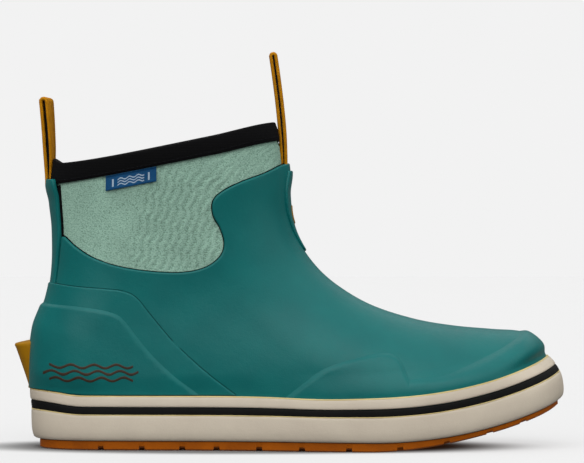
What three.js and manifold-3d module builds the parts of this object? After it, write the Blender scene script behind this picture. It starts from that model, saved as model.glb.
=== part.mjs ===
// Right-foot ankle deck boot: a knit-faced foam bootie in a hand-laid rubber upper, on a foxed rubber sole.
// Millimetres. X runs from heel to toe, Y towards the inner (medial) side, Z up.
// The origin is on the ground under the middle of the heel.
import * as THREE from "three";
import { mergeVertices } from "three/addons/utils/BufferGeometryUtils.js";
import Module from "manifold-3d";

const wasm = await Module();
wasm.setup();

// ---- Overall sizes ----
const soleLength = 308; // over the foxing, before the toe spring is bent in
const soleWidth = 109.5; // over the foxing at the ball
const shaftWidth = 92; // over the collar
const collarFrontHeight = 184.9;
const collarRearHeight = 163.6;
const collarDip = 4; // how far the collar's edge dips between its front and its rear

// ---- Sole ----
const outsoleThickness = 5.4;
const outsoleInset = 4; // the outsole's edge stands this far inside the foxing
const channelDepth = 2.4;
const channelWidth = 3.6;
const channelCentres = [4.3, 27.5, 50.2, 69.6, 93.6, 117.6, 143.8, 172.2, 198.3, 222.7, 242.2];
const channelWeb = 9; // left uncut along the middle of the tread
const foxingHeight = 25.4; // from the outsole to the upper edge of the foxing
const foxingThickness = 2.4;
const stripeWidth = 4.3;
const stripeBelowEdge = 6.2; // from the stripe up to the foxing's upper edge
const toeBumper = 5.2; // extra rubber round the toe
const heelSweep = 2.8; // rise of the foxing lines at the back of the heel
const springStart = 155; // the sole is flat behind this point and curves up in front of it
const toeSpring = 23.4; // rise of the sole's tip
const springLean = 0.5; // share of the sole's slope that its walls lean by
const wallBottom = 8; // the upper's layers end this far above the ground
const midsoleThickness = 9;
const boardThickness = 2;
const footbedThickness = 4.2;
const footbedRim = 5; // height of the cupped edge above the footbed
const topclothThickness = 0.8;
const shankLength = 118;
const shankWidth = 16;
const shankThickness = 1.6;

// ---- Upper ----
const rubberThickness = 1.6;
const bootieThickness = 3;
const liningThickness = 0.8;
const overlayThickness = 1.1;
const stiffenerThickness = 1;
const backstayProud = 0.6; // the backstay stands this far out of the rubber's face
const bindingThickness = 0.9;
const badgeThickness = 0.7;
const layerGap = 0.3;
const fitGap = 0.4;
const collarGap = 0.55; // between the binding and what it wraps
const edgeGap = 0.7; // between the foxing's edge and what stands above it

// ---- Trim ----
const webbingWidth = 17;
const webbingThickness = 1.6;
const frontLoopGap = 1;
const rearLoopGap = 2.4;
const frontLoopHeight = 62;
const rearLoopHeight = 47;
const anchorDepth = 13;
const labelLength = 29;
const labelDrop = 8.4;
const labelThickness = 0.7;
const labelGap = 1.2; // below the binding's lower edge
const spurWidth = 24;
const spurReach = 9.4;

// ---- Grid of the boot's surface: stations from heel to toe on each side, rows from sole to collar ----
const sideSteps = 14;
const loopSteps = 2 * sideSteps;
const upperRows = [-1, 0, 0.5, 1, 2, 3, 4, 5, 6, 7, 8, 9, 10, 11, 12, 13];
const collarRow = 13;
const bindingRow = 12;
const rubberTop = 11.9;
const extrudeDepth = 400; // a side outline is pushed through the whole boot

const foxingTop = outsoleThickness + foxingHeight;
const springRate = toeSpring / (0.37 * soleLength) ** 2; // rise per square millimetre of run
const faceFoot = foxingTop + edgeGap; // where the upper comes clear of the foxing
const stripeTop = foxingTop - stripeBelowEdge;
const stripeBottom = stripeTop - stripeWidth;
const upperInset = foxingThickness + layerGap;
const wallThickness = rubberThickness + bootieThickness + liningThickness + 2 * layerGap;
const bootieOuter = -rubberThickness - layerGap;
const bootieInner = bootieOuter - bootieThickness;
const liningOuter = bootieInner - layerGap;
const liningInner = liningOuter - liningThickness;
const innerInset = upperInset + wallThickness + fitGap;
const boardBottom = outsoleThickness + midsoleThickness + layerGap;
const footbedBottom = boardBottom + boardThickness + layerGap;
const bindingRise = edgeGap + bindingThickness; // the binding's roll above the foam's edge
const frontTop = collarFrontHeight - bindingRise;
const rearTop = collarRearHeight - bindingRise;

// The outlines below are drawn for a boot of this size, and are scaled to the sizes above.
const pattern = { length: 308, width: 109.5, shaft: 92, foxingTop: 29.6, front: 182.1, rear: 160.8 };
const scaleX = soleLength / pattern.length;
const scaleY = soleWidth / pattern.width;

const clamp01 = (t) => Math.min(1, Math.max(0, t));
const smooth = (t) => clamp01(t) ** 2 * (3 - 2 * clamp01(t));
const lerp = THREE.MathUtils.lerp;

// ---- The sole's outline, heel to toe along the outer side and back along the inner side ----
const outlinePoints = [
  [-37.5, 0], [-30.5, -20], [-12, -32.5], [20, -36.5], [60, -38], [100, -43], [140, -51], [175, -55.5],
  [207, -54], [236, -44.5], [259, -26], [270.5, 4], [265, 28], [248, 43], [222, 51.5], [190, 54],
  [160, 50.5], [125, 41], [90, 34.5], [55, 34], [20, 36], [-12, 32.5], [-30.5, 20],
];
const toeIndex = 11;
const outline = new THREE.CatmullRomCurve3(
  outlinePoints.map(([x, y]) => new THREE.Vector3(x * scaleX, y * scaleY, 0)), true, "catmullrom", 0.5);

// One side of the outline as points evenly spaced along it, each with its outward normal.
function outlineSide(from, to) {
  const dense = [];
  for (let i = 0; i <= 400; i++) dense.push(outline.getPoint(lerp(from, to, i / 400) % 1));
  const run = [0];
  for (let i = 1; i <= 400; i++) run.push(run[i - 1] + dense[i].distanceTo(dense[i - 1]));
  return (share) => {
    const wanted = share * run[400];
    let i = run.findIndex((r) => r >= wanted);
    i = Math.max(1, i < 0 ? 400 : i);
    const point = dense[i - 1].clone().lerp(dense[i], (wanted - run[i - 1]) / (run[i] - run[i - 1]));
    const tangent = dense[Math.min(400, i + 1)].clone().sub(dense[Math.max(0, i - 2)]).normalize();
    return { point, normal: new THREE.Vector3(tangent.y, -tangent.x, 0) };
  };
}
const outerSide = outlineSide(0, toeIndex / outlinePoints.length);
const innerSide = outlineSide(toeIndex / outlinePoints.length, 1);
// Stations stand closer together at heel and toe.
const crowded = (t) => t - 0.55 * Math.sin(2 * Math.PI * t) / (2 * Math.PI);

// Station 0 is the back of the heel, sideSteps the toe, and the outer side comes first.
function outlineAt(station) {
  const s = ((station % loopSteps) + loopSteps) % loopSteps;
  const found = s <= sideSteps ? outerSide(crowded(s / sideSteps)) : innerSide(crowded(s / sideSteps - 1));
  if (s === 0 || s === sideSteps) found.normal.set(s === 0 ? -1 : 1, 0, 0);
  return found;
}

const toeShare = (x) => smooth((x / scaleX - 222) / 42);
const sweepAt = (x) => heelSweep * smooth((-5 - x / scaleX) / 30);

// Carries a point of the flat sole to its place on the sprung one.
function bend(x, y, z) {
  const run = Math.max(0, x - springStart * scaleX);
  const slope = Math.atan(2 * springRate * run) * springLean;
  return new THREE.Vector3(x - z * Math.sin(slope), y, springRate * run * run + z * Math.cos(slope));
}

// A point of the sole unit: offset outwards from the outline, at a height on the flat sole.
function solePoint(station, offset, z) {
  const { point, normal } = outlineAt(station);
  const x = point.x + normal.x * offset;
  const y = point.y + normal.y * offset;
  const lift = sweepAt(point.x) * clamp01(z / stripeBottom - 0.25);
  return bend(x, y, z + lift);
}
const soleLoop = (offset, z) => stations().map((s) => solePoint(s, offset, z));
const stations = () => Array.from({ length: loopSteps }, (_, i) => i);

// ---- The rubber's outer face above the foxing: back and front profiles, row by row up to the collar ----
const backProfile = [
  [-34.6, 32.2], [-34.9, 41], [-34.8, 50], [-34.2, 58.5], [-33, 67], [-30.8, 75.5], [-28.4, 84],
  [-26.4, 93], [-25.3, 103], [-25.1, 113], [-25.5, 125], [-26.8, 138], [-27.3, 149.2], [-25.6, 160.8],
];
const frontProfile = [
  [256.6, 51.5], [253, 57.6], [244, 63.2], [228, 65.8], [206, 67.9], [182, 72.1], [160, 79],
  [142, 88.6], [128, 100], [117.2, 114.5], [111.2, 131], [109.4, 155], [107, 172.9], [104.6, 182.1],
];
const riseTo = (z, top, patternTop) =>
  foxingTop + (z - pattern.foxingTop) * (top - foxingTop) / (patternTop - pattern.foxingTop);
const frontCurve = new THREE.CatmullRomCurve3(frontProfile.map(([x, z]) =>
  new THREE.Vector3(x * scaleX, 0, riseTo(z, frontTop, pattern.front))));
const backCurve = new THREE.CatmullRomCurve3(backProfile.map(([x, z]) =>
  new THREE.Vector3(x * scaleX, 0, riseTo(z, rearTop, pattern.rear))));
frontCurve.curveType = backCurve.curveType = "catmullrom";
const frontLine = Array.from({ length: 105 }, (_, i) => frontCurve.getPoint(i / 104));
const backLine = Array.from({ length: 105 }, (_, i) => backCurve.getPoint(i / 104));

// Moves a point of a side outline from the pattern's size to the boot's.
function place([x, z]) {
  const share = clamp01((x + 27) / 132);
  const front = riseTo(z, frontTop, pattern.front);
  const rear = riseTo(z, rearTop, pattern.rear);
  return [x * scaleX, z < pattern.foxingTop ? z : lerp(rear, front, share)];
}

function distanceTo(line, x, z) {
  let best = Infinity;
  for (let i = 1; i < line.length; i++) {
    const [a, b] = [line[i - 1], line[i]];
    const [dx, dz] = [b.x - a.x, b.z - a.z];
    const t = clamp01(((x - a.x) * dx + (z - a.z) * dz) / (dx * dx + dz * dz));
    best = Math.min(best, Math.hypot(x - a.x - t * dx, z - a.z - t * dz));
  }
  return best;
}

function curveThrough(points) {
  return new THREE.CatmullRomCurve3(points.map(([a, b]) => new THREE.Vector3(a, b, 0)));
}
// Half the boot's width, along the foot by x and up the shaft by z.
const foot = curveThrough([[-38, 34.5], [40, 35.5], [95, 40], [140, 47], [180, 51.5], [225, 50], [272, 47]]);
const shaft = curveThrough([[30, 35], [70, 34], [100, 35.5], [130, 39.5], [160, 44], [190, 47]]);
function along(curve, value) {
  const points = curve.points;
  const last = points.length - 1;
  let i = points.findIndex((p) => p.x >= value);
  i = i < 0 ? last : Math.max(1, i);
  const t = (value - points[i - 1].x) / (points[i].x - points[i - 1].x);
  return curve.getPoint(clamp01((i - 1 + t) / last)).y;
}
const rounded = (t) => (1 - (1 - clamp01(t)) ** 2.1) ** (1 / 2.1);

// Half the boot's width at a place in side view, rounded off towards the front and back profiles.
function halfWidth(x, z) {
  const stretch = (pattern.front - pattern.foxingTop) / (frontTop - foxingTop);
  const nominalZ = pattern.foxingTop + (z - foxingTop) * stretch;
  const broad = lerp(along(foot, x / scaleX) * scaleY, along(shaft, nominalZ) * shaftWidth / pattern.shaft,
    smooth((nominalZ - 42) / 62));
  const frontDepth = lerp(47, 68, smooth((nominalZ - 85) / 60)) * scaleY;
  const backDepth = lerp(36, 64, smooth((nominalZ - 60) / 90)) * scaleY;
  const front = rounded(distanceTo(frontLine, x, z) / frontDepth);
  const back = rounded(distanceTo(backLine, x, z) / backDepth);
  return broad * front * back;
}

const upperOffset = (x) => -upperInset - toeBumper * toeShare(x);
function wallFoot(station, z) {
  const { point, normal } = outlineAt(station);
  const offset = upperOffset(point.x);
  const lift = sweepAt(point.x) * clamp01(z / stripeBottom - 0.25);
  return bend(point.x + normal.x * offset, point.y + normal.y * offset, z + lift);
}
const heelFoot = wallFoot(0, faceFoot);
const toeFoot = wallFoot(sideSteps, faceFoot);

// A point of the rubber's outer face.
function facePoint(station, row) {
  if (row <= 0) return wallFoot(station, lerp(faceFoot, wallBottom, -row));
  const base = wallFoot(station, faceFoot);
  const share = (base.x - heelFoot.x) / (toeFoot.x - heelFoot.x);
  const sag = (base.z - lerp(heelFoot.z, toeFoot.z, share)) * (1 - row / collarRow) ** 3;
  const back = backCurve.getPoint(row / collarRow);
  const front = frontCurve.getPoint(row / collarRow);
  const x = lerp(back.x, front.x, share);
  const hollow = clamp01(share) ** 0.6 * clamp01(1 - share) ** 1.4 / 0.295;
  const dip = collarDip * hollow * smooth((row - 11) / 2);
  const z = lerp(back.z, front.z, share) + sag - dip;
  const side = ((station % loopSteps) + loopSteps) % loopSteps <= sideSteps ? -1 : 1;
  const centre = 5 * scaleY * smooth((x / scaleX - 165) / 100);
  const y = centre + side * halfWidth(x, z);
  return new THREE.Vector3(x, lerp(base.y, y, smooth(row / 1.3)), z);
}

function faceNormal(station, row) {
  const level = outlineAt(station).normal;
  if (row <= 0) return level;
  const step = 0.04;
  const a = facePoint(station + step, row).sub(facePoint(station - step, row));
  const upper = Math.min(collarRow, row + step);
  const b = facePoint(station, upper).sub(facePoint(station, Math.max(0.01, row - step)));
  const normal = a.cross(b).normalize();
  return level.clone().lerp(normal, smooth(row / 1.6)).normalize();
}

const cache = new Map();
// A point at a signed distance from the rubber's outer face; negative is towards the foot.
function layer(station, row, distance, lift = 0) {
  const key = station + ":" + row;
  if (!cache.has(key)) cache.set(key, [facePoint(station, row), faceNormal(station, row)]);
  const [point, normal] = cache.get(key);
  const placed = point.clone().addScaledVector(normal, distance);
  placed.z += lift;
  return placed;
}

// ---- Solids from loops and grids of points ----
function meshOf(points, faces) {
  const flat = [];
  for (const f of faces) for (let i = 2; i < f.length; i++) {
    const [a, b, c] = [points[f[0]], points[f[i - 1]], points[f[i]]];
    const area = b.clone().sub(a).cross(c.clone().sub(a)).lengthSq();
    if (area > 1e-9) flat.push(...a, ...b, ...c);
  }
  return new THREE.BufferGeometry().setAttribute("position", new THREE.Float32BufferAttribute(flat, 3));
}

// A wall between two distances from the face, over a list of stations and rows, or closed all round.
function wall(rows, outer, inner, stationList = null) {
  const list = stationList ?? stations();
  const wrap = stationList === null;
  const points = [];
  const depth = (d, s, r) => (typeof d === "function" ? d(s, r) : d);
  for (const d of [outer, inner])
    for (const r of rows) for (const s of list) points.push(layer(s, r, depth(d, s, r)));
  const at = (side, r, s) => (side * rows.length + r) * list.length + (s % list.length);
  const faces = [];
  const spans = wrap ? list.length : list.length - 1;
  const top = rows.length - 1;
  for (let s = 0; s < spans; s++) {
    for (let r = 0; r < top; r++) {
      faces.push([at(0, r, s), at(0, r, s + 1), at(0, r + 1, s + 1), at(0, r + 1, s)]);
      faces.push([at(1, r, s), at(1, r + 1, s), at(1, r + 1, s + 1), at(1, r, s + 1)]);
    }
    faces.push([at(0, 0, s + 1), at(0, 0, s), at(1, 0, s), at(1, 0, s + 1)]);
    faces.push([at(0, top, s + 1), at(1, top, s + 1), at(1, top, s), at(0, top, s)]);
  }
  if (!wrap) for (let r = 0; r < top; r++) {
    faces.push([at(0, r, 0), at(0, r + 1, 0), at(1, r + 1, 0), at(1, r, 0)]);
    faces.push([at(0, r + 1, spans), at(0, r, spans), at(1, r, spans), at(1, r + 1, spans)]);
  }
  return meshOf(points, faces);
}

// Loops joined one to the next; a ring closes on its first loop, and a stack is capped across its width.
function loft(loops, ring) {
  const points = loops.flat();
  const n = loopSteps;
  const faces = [];
  const count = ring ? loops.length : loops.length - 1;
  for (let l = 0; l < count; l++) for (let s = 0; s < n; s++) {
    const next = ((l + 1) % loops.length) * n;
    faces.push([l * n + s, l * n + (s + 1) % n, next + (s + 1) % n, next + s]);
  }
  const last = (loops.length - 1) * n;
  if (!ring) for (let s = 0; s < sideSteps; s++) {
    const [a, b, c, d] = [s, s + 1, n - s - 1, (n - s) % n];
    faces.push([a, d, c, b]);
    faces.push([last + a, last + b, last + c, last + d]);
  }
  return meshOf(points, faces);
}

function solid(geometry) {
  const plain = geometry.index ? geometry.toNonIndexed() : geometry.clone();
  for (const name of Object.keys(plain.attributes)) if (name !== "position") plain.deleteAttribute(name);
  const merged = mergeVertices(plain, 1e-3);
  const vertProperties = merged.attributes.position.array;
  const triVerts = new Uint32Array(merged.index.array);
  return new wasm.Manifold(new wasm.Mesh({ numProp: 3, vertProperties, triVerts }));
}
function geometryOf(manifold) {
  const mesh = manifold.getMesh();
  return new THREE.BufferGeometry()
    .setAttribute("position", new THREE.BufferAttribute(new Float32Array(mesh.vertProperties), 3))
    .setIndex(new THREE.BufferAttribute(new Uint32Array(mesh.triVerts), 1));
}

// A side-view outline pushed through the boot, or through one side of it.
function prism(points, side = "both", depth = extrudeDepth) {
  const shape = new THREE.Shape(points.map(([x, z]) => new THREE.Vector2(x, z)));
  const geometry = new THREE.ExtrudeGeometry(shape, { depth, bevelEnabled: false });
  geometry.rotateX(Math.PI / 2);
  geometry.translate(0, side === "outer" ? 0 : side === "inner" ? depth : depth / 2, 0);
  return solid(geometry);
}
function smoothLine(points, steps) {
  const curve = new THREE.CatmullRomCurve3(points.map((p) => new THREE.Vector3(p[0], p[1], 0)));
  return curve.getPoints(steps).map((p) => [p.x, p.y]);
}
const outlineOf = (points, steps) => smoothLine(points, steps).map(place);

// Keeps the largest body of a cut piece, so that a sliver left by the cut goes.
function largest(manifold) {
  const bodies = manifold.decompose();
  return bodies.reduce((a, b) => (b.volume() > a.volume() ? b : a));
}

// ---- Side outlines, drawn on the pattern's size ----
const windowEdge = [
  [-17.8, 119], [-10, 112.6], [0, 106.9], [14, 102.3], [32, 99.4], [50, 98.8], [63, 101.5], [71.5, 107.6],
  [74.2, 115], [72, 123.6], [68, 131], [68, 139], [73.5, 144.4], [84, 149.7], [98, 155.2], [108, 160.6],
  [114, 163.8],
];
const backstayEdge = [[-21.8, 152], [-20.2, 137], [-19.2, 119], [-20.8, 104], [-22.8, 91]];
const counterEdge = [
  [-42, 94.6], [-24, 92.6], [-8, 90.7], [8, 89.6], [18, 88.2], [25, 84.4], [33, 73.8], [45, 59],
  [62, 42.6], [80, 28.2],
];
const counterRidgeEdge = [
  [-44, 82.6], [-26, 80.6], [-8, 79.5], [6, 78], [13.6, 76.1], [19, 71.6], [31.8, 55.1], [46, 41.2],
  [62, 28],
];
const guardEdge = [
  [105, 28], [116, 36.6], [130, 46.6], [147, 52.1], [163, 55.3], [170.5, 53.6], [175, 48.4], [178, 41.2],
  [182, 33], [184, 28],
];
const toeCapEdge = [
  [176, 24], [179, 36], [184, 41.4], [196, 43.1], [208, 47.6], [220, 53.4], [231, 59], [238.5, 64.4],
  [243, 75],
];
const patchTip = 110.5;
const patchTop = 156.6;

// The window's edge, closed above the collar: everything inside is left open for the knit.
function windowCut() {
  const edge = outlineOf(windowEdge, 40);
  const beyond = extrudeDepth;
  const [first, last] = [edge[0], edge.at(-1)];
  return prism([...edge, [beyond, last[1]], [beyond, beyond], [-beyond, beyond], [-beyond, first[1]]]);
}
function backstayOutline(grow) {
  const edge = outlineOf(backstayEdge, 12).map(([x, z]) => [x + grow, z]);
  const [top, low] = [edge[0], edge.at(-1)];
  const behind = -extrudeDepth / 4;
  return [...edge.reverse(), [top[0], top[1] + grow], [behind, top[1] + grow], [behind, low[1]]];
}

// ---- Pieces ----
const onFace = (from, to) => [from, ...upperRows.filter((r) => r > from && r < to), to];

function rubberVamp() {
  const shell = solid(wall(onFace(-1, rubberTop), 0, -rubberThickness));
  const strip = prism(backstayOutline(fitGap));
  return geometryOf(largest(shell.subtract(windowCut()).subtract(strip)));
}

function backstay() {
  const strip = solid(wall(onFace(6, rubberTop), backstayProud, -rubberThickness, [-3, -2, -1, 0, 1, 2, 3]));
  const lower = prism(counterOutline(layerGap));
  return geometryOf(largest(strip.intersect(prism(backstayOutline(0))).subtract(lower)));
}

// Closes a line round everything behind and below it, or ahead of and below it.
function behindAndBelow(line) {
  const behind = line[0][0] - 40;
  return [...line, [line.at(-1)[0], -50], [behind, -50], [behind, line[0][1]]].reverse();
}
function aheadAndBelow(line) {
  const ahead = soleLength * 2;
  return [...line, [ahead, line.at(-1)[1]], [ahead, -50], [line[0][0], -50]].reverse();
}

function counterOutline(grow) {
  const edge = outlineOf(counterEdge, 24);
  const line = edge.map(([x, z]) => [x + grow * 0.7, z + grow]);
  return behindAndBelow(line);
}
function ridgeOutline() {
  const edge = outlineOf(counterRidgeEdge, 20);
  return behindAndBelow(edge);
}
const counterTop = layerGap + overlayThickness;

function heelCounter() {
  const shell = solid(wall(onFace(0, 8), counterTop, layerGap));
  return geometryOf(largest(shell.intersect(prism(counterOutline(0)))));
}
function heelRidge() {
  const inner = counterTop + layerGap;
  const shell = solid(wall(onFace(0, 7), inner + overlayThickness * 0.8, inner));
  return geometryOf(largest(shell.intersect(prism(ridgeOutline()))));
}
function toeCap() {
  const shell = solid(wall(onFace(0, 4), counterTop, layerGap));
  return geometryOf(largest(shell.intersect(prism(aheadAndBelow(outlineOf(toeCapEdge, 18))))));
}
function sideGuard(side) {
  const edge = outlineOf(guardEdge, 20);
  const shell = solid(wall(onFace(0, 5), counterTop - layerGap / 3, layerGap));
  const cap = outlineOf(toeCapEdge, 18).map(([x, z]) => [x - fitGap, z + fitGap]);
  const room = prism(aheadAndBelow(cap));
  return geometryOf(largest(shell.intersect(prism([...edge].reverse(), side)).subtract(room)));
}

// Shield-shaped patch down the front of the shaft, with a small plain badge on it.
function shinPatch() {
  const [, top] = place([110, patchTop]);
  const [, tip] = place([118, patchTip]);
  const width = (t) => {
    const crown = Math.sin(Math.PI * Math.min(0.5, 0.22 + 0.5 * (1 - t)));
    return 12.5 * scaleY * crown * Math.sqrt(clamp01(t * 1.3));
  };
  const rim = Array.from({ length: 9 }, (_, i) => [width(i / 8), lerp(tip, top, i / 8)]);
  const shape = [...rim, ...rim.slice(1).reverse().map(([y, z]) => [-y, z])];
  return frontPiece(shape, onFace(7, bindingRow), layerGap, layerGap + overlayThickness);
}
function shinBadge() {
  const [, centre] = place([114, 132]);
  const shape = Array.from({ length: 12 }, (_, i) => {
    const turn = (i / 12) * 2 * Math.PI;
    return [3.8 * Math.cos(turn), centre + 5.6 * Math.sin(turn)];
  });
  const inner = layerGap * 2 + overlayThickness;
  return frontPiece(shape, onFace(8, bindingRow - 1), inner, inner + badgeThickness);
}
// A front-view outline pushed along X through the front of the shaft.
function frontPiece(shape, rows, inner, outer) {
  const ahead = Array.from({ length: 9 }, (_, i) => sideSteps - 4 + i);
  const shell = solid(wall(rows, outer, inner, ahead));
  const front = new THREE.Shape(shape.map(([y, z]) => new THREE.Vector2(y, z)));
  const geometry = new THREE.ExtrudeGeometry(front, { depth: extrudeDepth, bevelEnabled: false });
  geometry.rotateX(Math.PI / 2).rotateZ(Math.PI / 2);
  return geometryOf(largest(shell.intersect(solid(geometry))));
}

// Webbing tails under the rubber, and the room they take in the foam.
function anchorShell(station, top, inner, outer, extra) {
  const near = [-2, -1, 0, 1, 2].map((s) => station + s);
  const shell = solid(wall(onFace(9, bindingRow), outer, inner, near));
  const slab = new THREE.BoxGeometry(extrudeDepth, webbingWidth + 2 * extra, anchorDepth + 2 * extra);
  return shell.intersect(solid(slab.translate(0, 0, top - anchorDepth / 2)));
}
const anchorInner = bootieOuter - webbingThickness;
function loopAnchor(station, top) {
  return geometryOf(largest(anchorShell(station, top, anchorInner, bootieOuter, 0)));
}
function anchorRoom(station, top) {
  return anchorShell(station, top, anchorInner - layerGap, bootieOuter + layerGap, fitGap);
}

// Heel stiffener and toe puff: firm sheets let into the foam.
function stiffenerShell(rows, outline2d, grow) {
  const outer = bootieOuter + grow;
  const inner = bootieOuter - stiffenerThickness - grow;
  return solid(wall(rows, outer, inner)).intersect(prism(outline2d));
}
function heelStiffenerOutline(grow) {
  const edge = outlineOf([[-60, 76], [-20, 74], [10, 66], [34, 46], [52, 24]], 10);
  const line = edge.map(([x, z]) => [x + grow, z + grow]);
  const low = wallBottom + 4 - grow;
  return [...line, [line.at(-1)[0], low], [line[0][0], low]].reverse();
}
function toePuffOutline(grow) {
  const edge = outlineOf([[204, 31], [210, 42], [222, 55], [234, 76]], 8);
  const line = edge.map(([x, z]) => [x - grow, z + grow]);
  const ahead = toeFoot.x + 10;
  line[0][1] -= 2 * grow;
  return [...line, [ahead, line.at(-1)[1]], [ahead, toeFoot.z - grow]].reverse();
}
const heelStiffenerRows = onFace(-1, 6);
const toePuffRows = onFace(-1, 4);
const stiffener = (rows, outline2d) => geometryOf(largest(stiffenerShell(rows, outline2d, 0)));
const heelStiffener = () => stiffener(heelStiffenerRows, heelStiffenerOutline(0));
const toePuff = () => stiffener(toePuffRows, toePuffOutline(0));

function bootieHalf(side) {
  const span = new THREE.BoxGeometry(2 * extrudeDepth, extrudeDepth, 2 * extrudeDepth);
  span.translate(0, (side === "outer" ? -1 : 1) * (extrudeDepth / 2 + layerGap / 2), 0);
  let half = solid(wall(upperRows, bootieOuter, bootieInner)).intersect(solid(span));
  half = half.subtract(anchorRoom(sideSteps, frontAnchorTop())).subtract(anchorRoom(0, rearAnchorTop()));
  half = half.subtract(stiffenerShell(heelStiffenerRows, heelStiffenerOutline(fitGap), layerGap));
  half = half.subtract(stiffenerShell(toePuffRows, toePuffOutline(fitGap), layerGap));
  return geometryOf(largest(half));
}

function collarBinding() {
  const outerFace = bootieOuter + collarGap + bindingThickness;
  const innerFace = liningInner - collarGap - bindingThickness;
  const section = [
    [bindingRow, bootieOuter + collarGap, 0], [bindingRow, outerFace, 0], [collarRow, outerFace, 0.2],
    [collarRow, bootieOuter, bindingRise], [collarRow, liningInner, bindingRise],
    [collarRow, innerFace, 0.2], [bindingRow, innerFace, 0], [bindingRow, liningInner - collarGap, 0],
    [collarRow, liningInner - collarGap, edgeGap], [collarRow, bootieOuter + collarGap, edgeGap],
  ];
  return loft(section.map(([row, d, lift]) => stations().map((s) => layer(s, row, d, lift))), true);
}

// A webbing pull loop: a folded strap standing on its base, as a hairpin in side view.
function pullLoop(spine, gap) {
  const curve = new THREE.QuadraticBezierCurve(...spine.map(([x, z]) => new THREE.Vector2(x, z)));
  const steps = 8;
  const [outerSideways, innerSideways] = [[], []];
  const reach = (t) => gap / 2 * smooth(t * 2) + 0.1;
  for (let i = 0; i <= steps; i++) {
    const t = i / steps;
    const p = curve.getPoint(t);
    const d = curve.getTangent(t);
    const out = new THREE.Vector2(d.y, -d.x);
    outerSideways.push([p, out, reach(t) + webbingThickness]);
    innerSideways.push([p, out, reach(t)]);
  }
  const go = (list, sign) => list.map(([p, out, w]) => [p.x + sign * out.x * w, p.y + sign * out.y * w]);
  const end = curve.getPoint(1);
  const dir = curve.getTangent(1);
  const turn = (radius, count) => Array.from({ length: count - 1 }, (_, i) => {
    const angle = Math.PI * (i + 1) / count;
    const side = radius * Math.cos(angle);
    const ahead = radius * Math.sin(angle);
    return [end.x + dir.y * side + dir.x * ahead, end.y - dir.x * side + dir.y * ahead];
  });
  const closed = (list, radius, count) => [...go(list, 1), ...turn(radius, count), ...go(list, -1).reverse()];
  const outer = closed(outerSideways, reach(1) + webbingThickness, 6);
  const inner = closed(innerSideways, reach(1), 4);
  const shape = new THREE.Shape([...outer, ...inner.reverse()].map(([x, z]) => new THREE.Vector2(x, z)));
  const geometry = new THREE.ExtrudeGeometry(shape, { depth: webbingWidth, bevelEnabled: false });
  return geometry.rotateX(Math.PI / 2).translate(0, webbingWidth / 2, 0);
}
const loopReach = (gap) => webbingThickness + gap / 2 + 0.1; // half a loop's breadth in side view
function frontPullLoop() {
  const lip = frontLip();
  const top = lip.z + frontLoopHeight - loopReach(frontLoopGap);
  const lean = frontLoopHeight / 9.5;
  const spine = [[lip.x, lip.z], [lip.x + 0.5, lip.z + frontLoopHeight * 0.4], [lip.x - lean, top]];
  return pullLoop(spine, frontLoopGap);
}
function rearPullLoop() {
  const lip = rearLip();
  const top = lip.z + rearLoopHeight - loopReach(rearLoopGap);
  const spine = [[lip.x, lip.z], [lip.x + 0.9, lip.z + rearLoopHeight * 0.45], [lip.x - 1.6, top]];
  return pullLoop(spine, rearLoopGap);
}
const frontAnchorTop = () => frontLip().z - edgeGap;
const rearAnchorTop = () => rearLip().z - edgeGap;
// Where each loop leaves the rubber: just above its edge, and clear of the binding and the knit.
function frontLip() {
  const [, z] = place([109, 161.2]);
  const face = layer(sideSteps, 11.4, bootieOuter);
  return { x: face.x + loopReach(frontLoopGap) + fitGap, z: z + layerGap };
}
function rearLip() {
  const edge = layer(0, bindingRow, 0);
  const face = layer(0, 12.2, bootieOuter + layerGap + bindingThickness);
  return { x: face.x - loopReach(rearLoopGap) - fitGap, z: edge.z + layerGap };
}

// A woven side label hanging from the binding's lower edge on the outer side.
function labelPlate() {
  const first = 4.2;
  const inner = bootieOuter + fitGap;
  const shell = solid(wall([10, 11, bindingRow], inner + labelThickness, inner, [3, 4, 5, 6, 7, 8, 9]));
  const [x0] = place([8, 0]);
  const low = layer(first, bindingRow, inner);
  const slope = labelSlope();
  const top = (x) => low.z + (x - low.x) * slope - labelGap;
  const x1 = x0 + labelLength;
  const shape = [[x0, top(x0) - labelDrop], [x1, top(x1) - labelDrop], [x1, top(x1)], [x0, top(x0)]];
  return geometryOf(largest(shell.intersect(prism(shape, "outer"))));
}
function labelSlope() {
  const [a, b] = [layer(4, bindingRow, 0), layer(8, bindingRow, 0)];
  return (b.z - a.z) / (b.x - a.x);
}

// Wedge on the heel to step on when the boot is pulled off.
function kickSpur() {
  const low = facePoint(0, 0);
  const [, top] = place([-37, 57.5]);
  const skin = counterTop + 2 * layerGap + overlayThickness * 0.8;
  const back = low.x - skin;
  const ahead = back + 20;
  const foot = low.z + 0.2;
  const shape = [[ahead, foot], [back - 0.8, foot], [back - spurReach, top], [ahead, top + 6.4]];
  const plan = new THREE.Shape();
  plan.absellipse(back + 8, 0, spurReach + 8, spurWidth / 2, Math.PI / 2, 1.5 * Math.PI);
  const options = { depth: extrudeDepth, bevelEnabled: false, curveSegments: 14 };
  const crescent = new THREE.ExtrudeGeometry(plan, options);
  const body = prism(shape.reverse(), "both", spurWidth).intersect(solid(crescent));
  const rows = onFace(-1, 8);
  const heel = loft(rows.map((r) => stations().map((s) => layer(s, r, skin))), false);
  return geometryOf(largest(body.subtract(solid(heel))));
}

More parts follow.
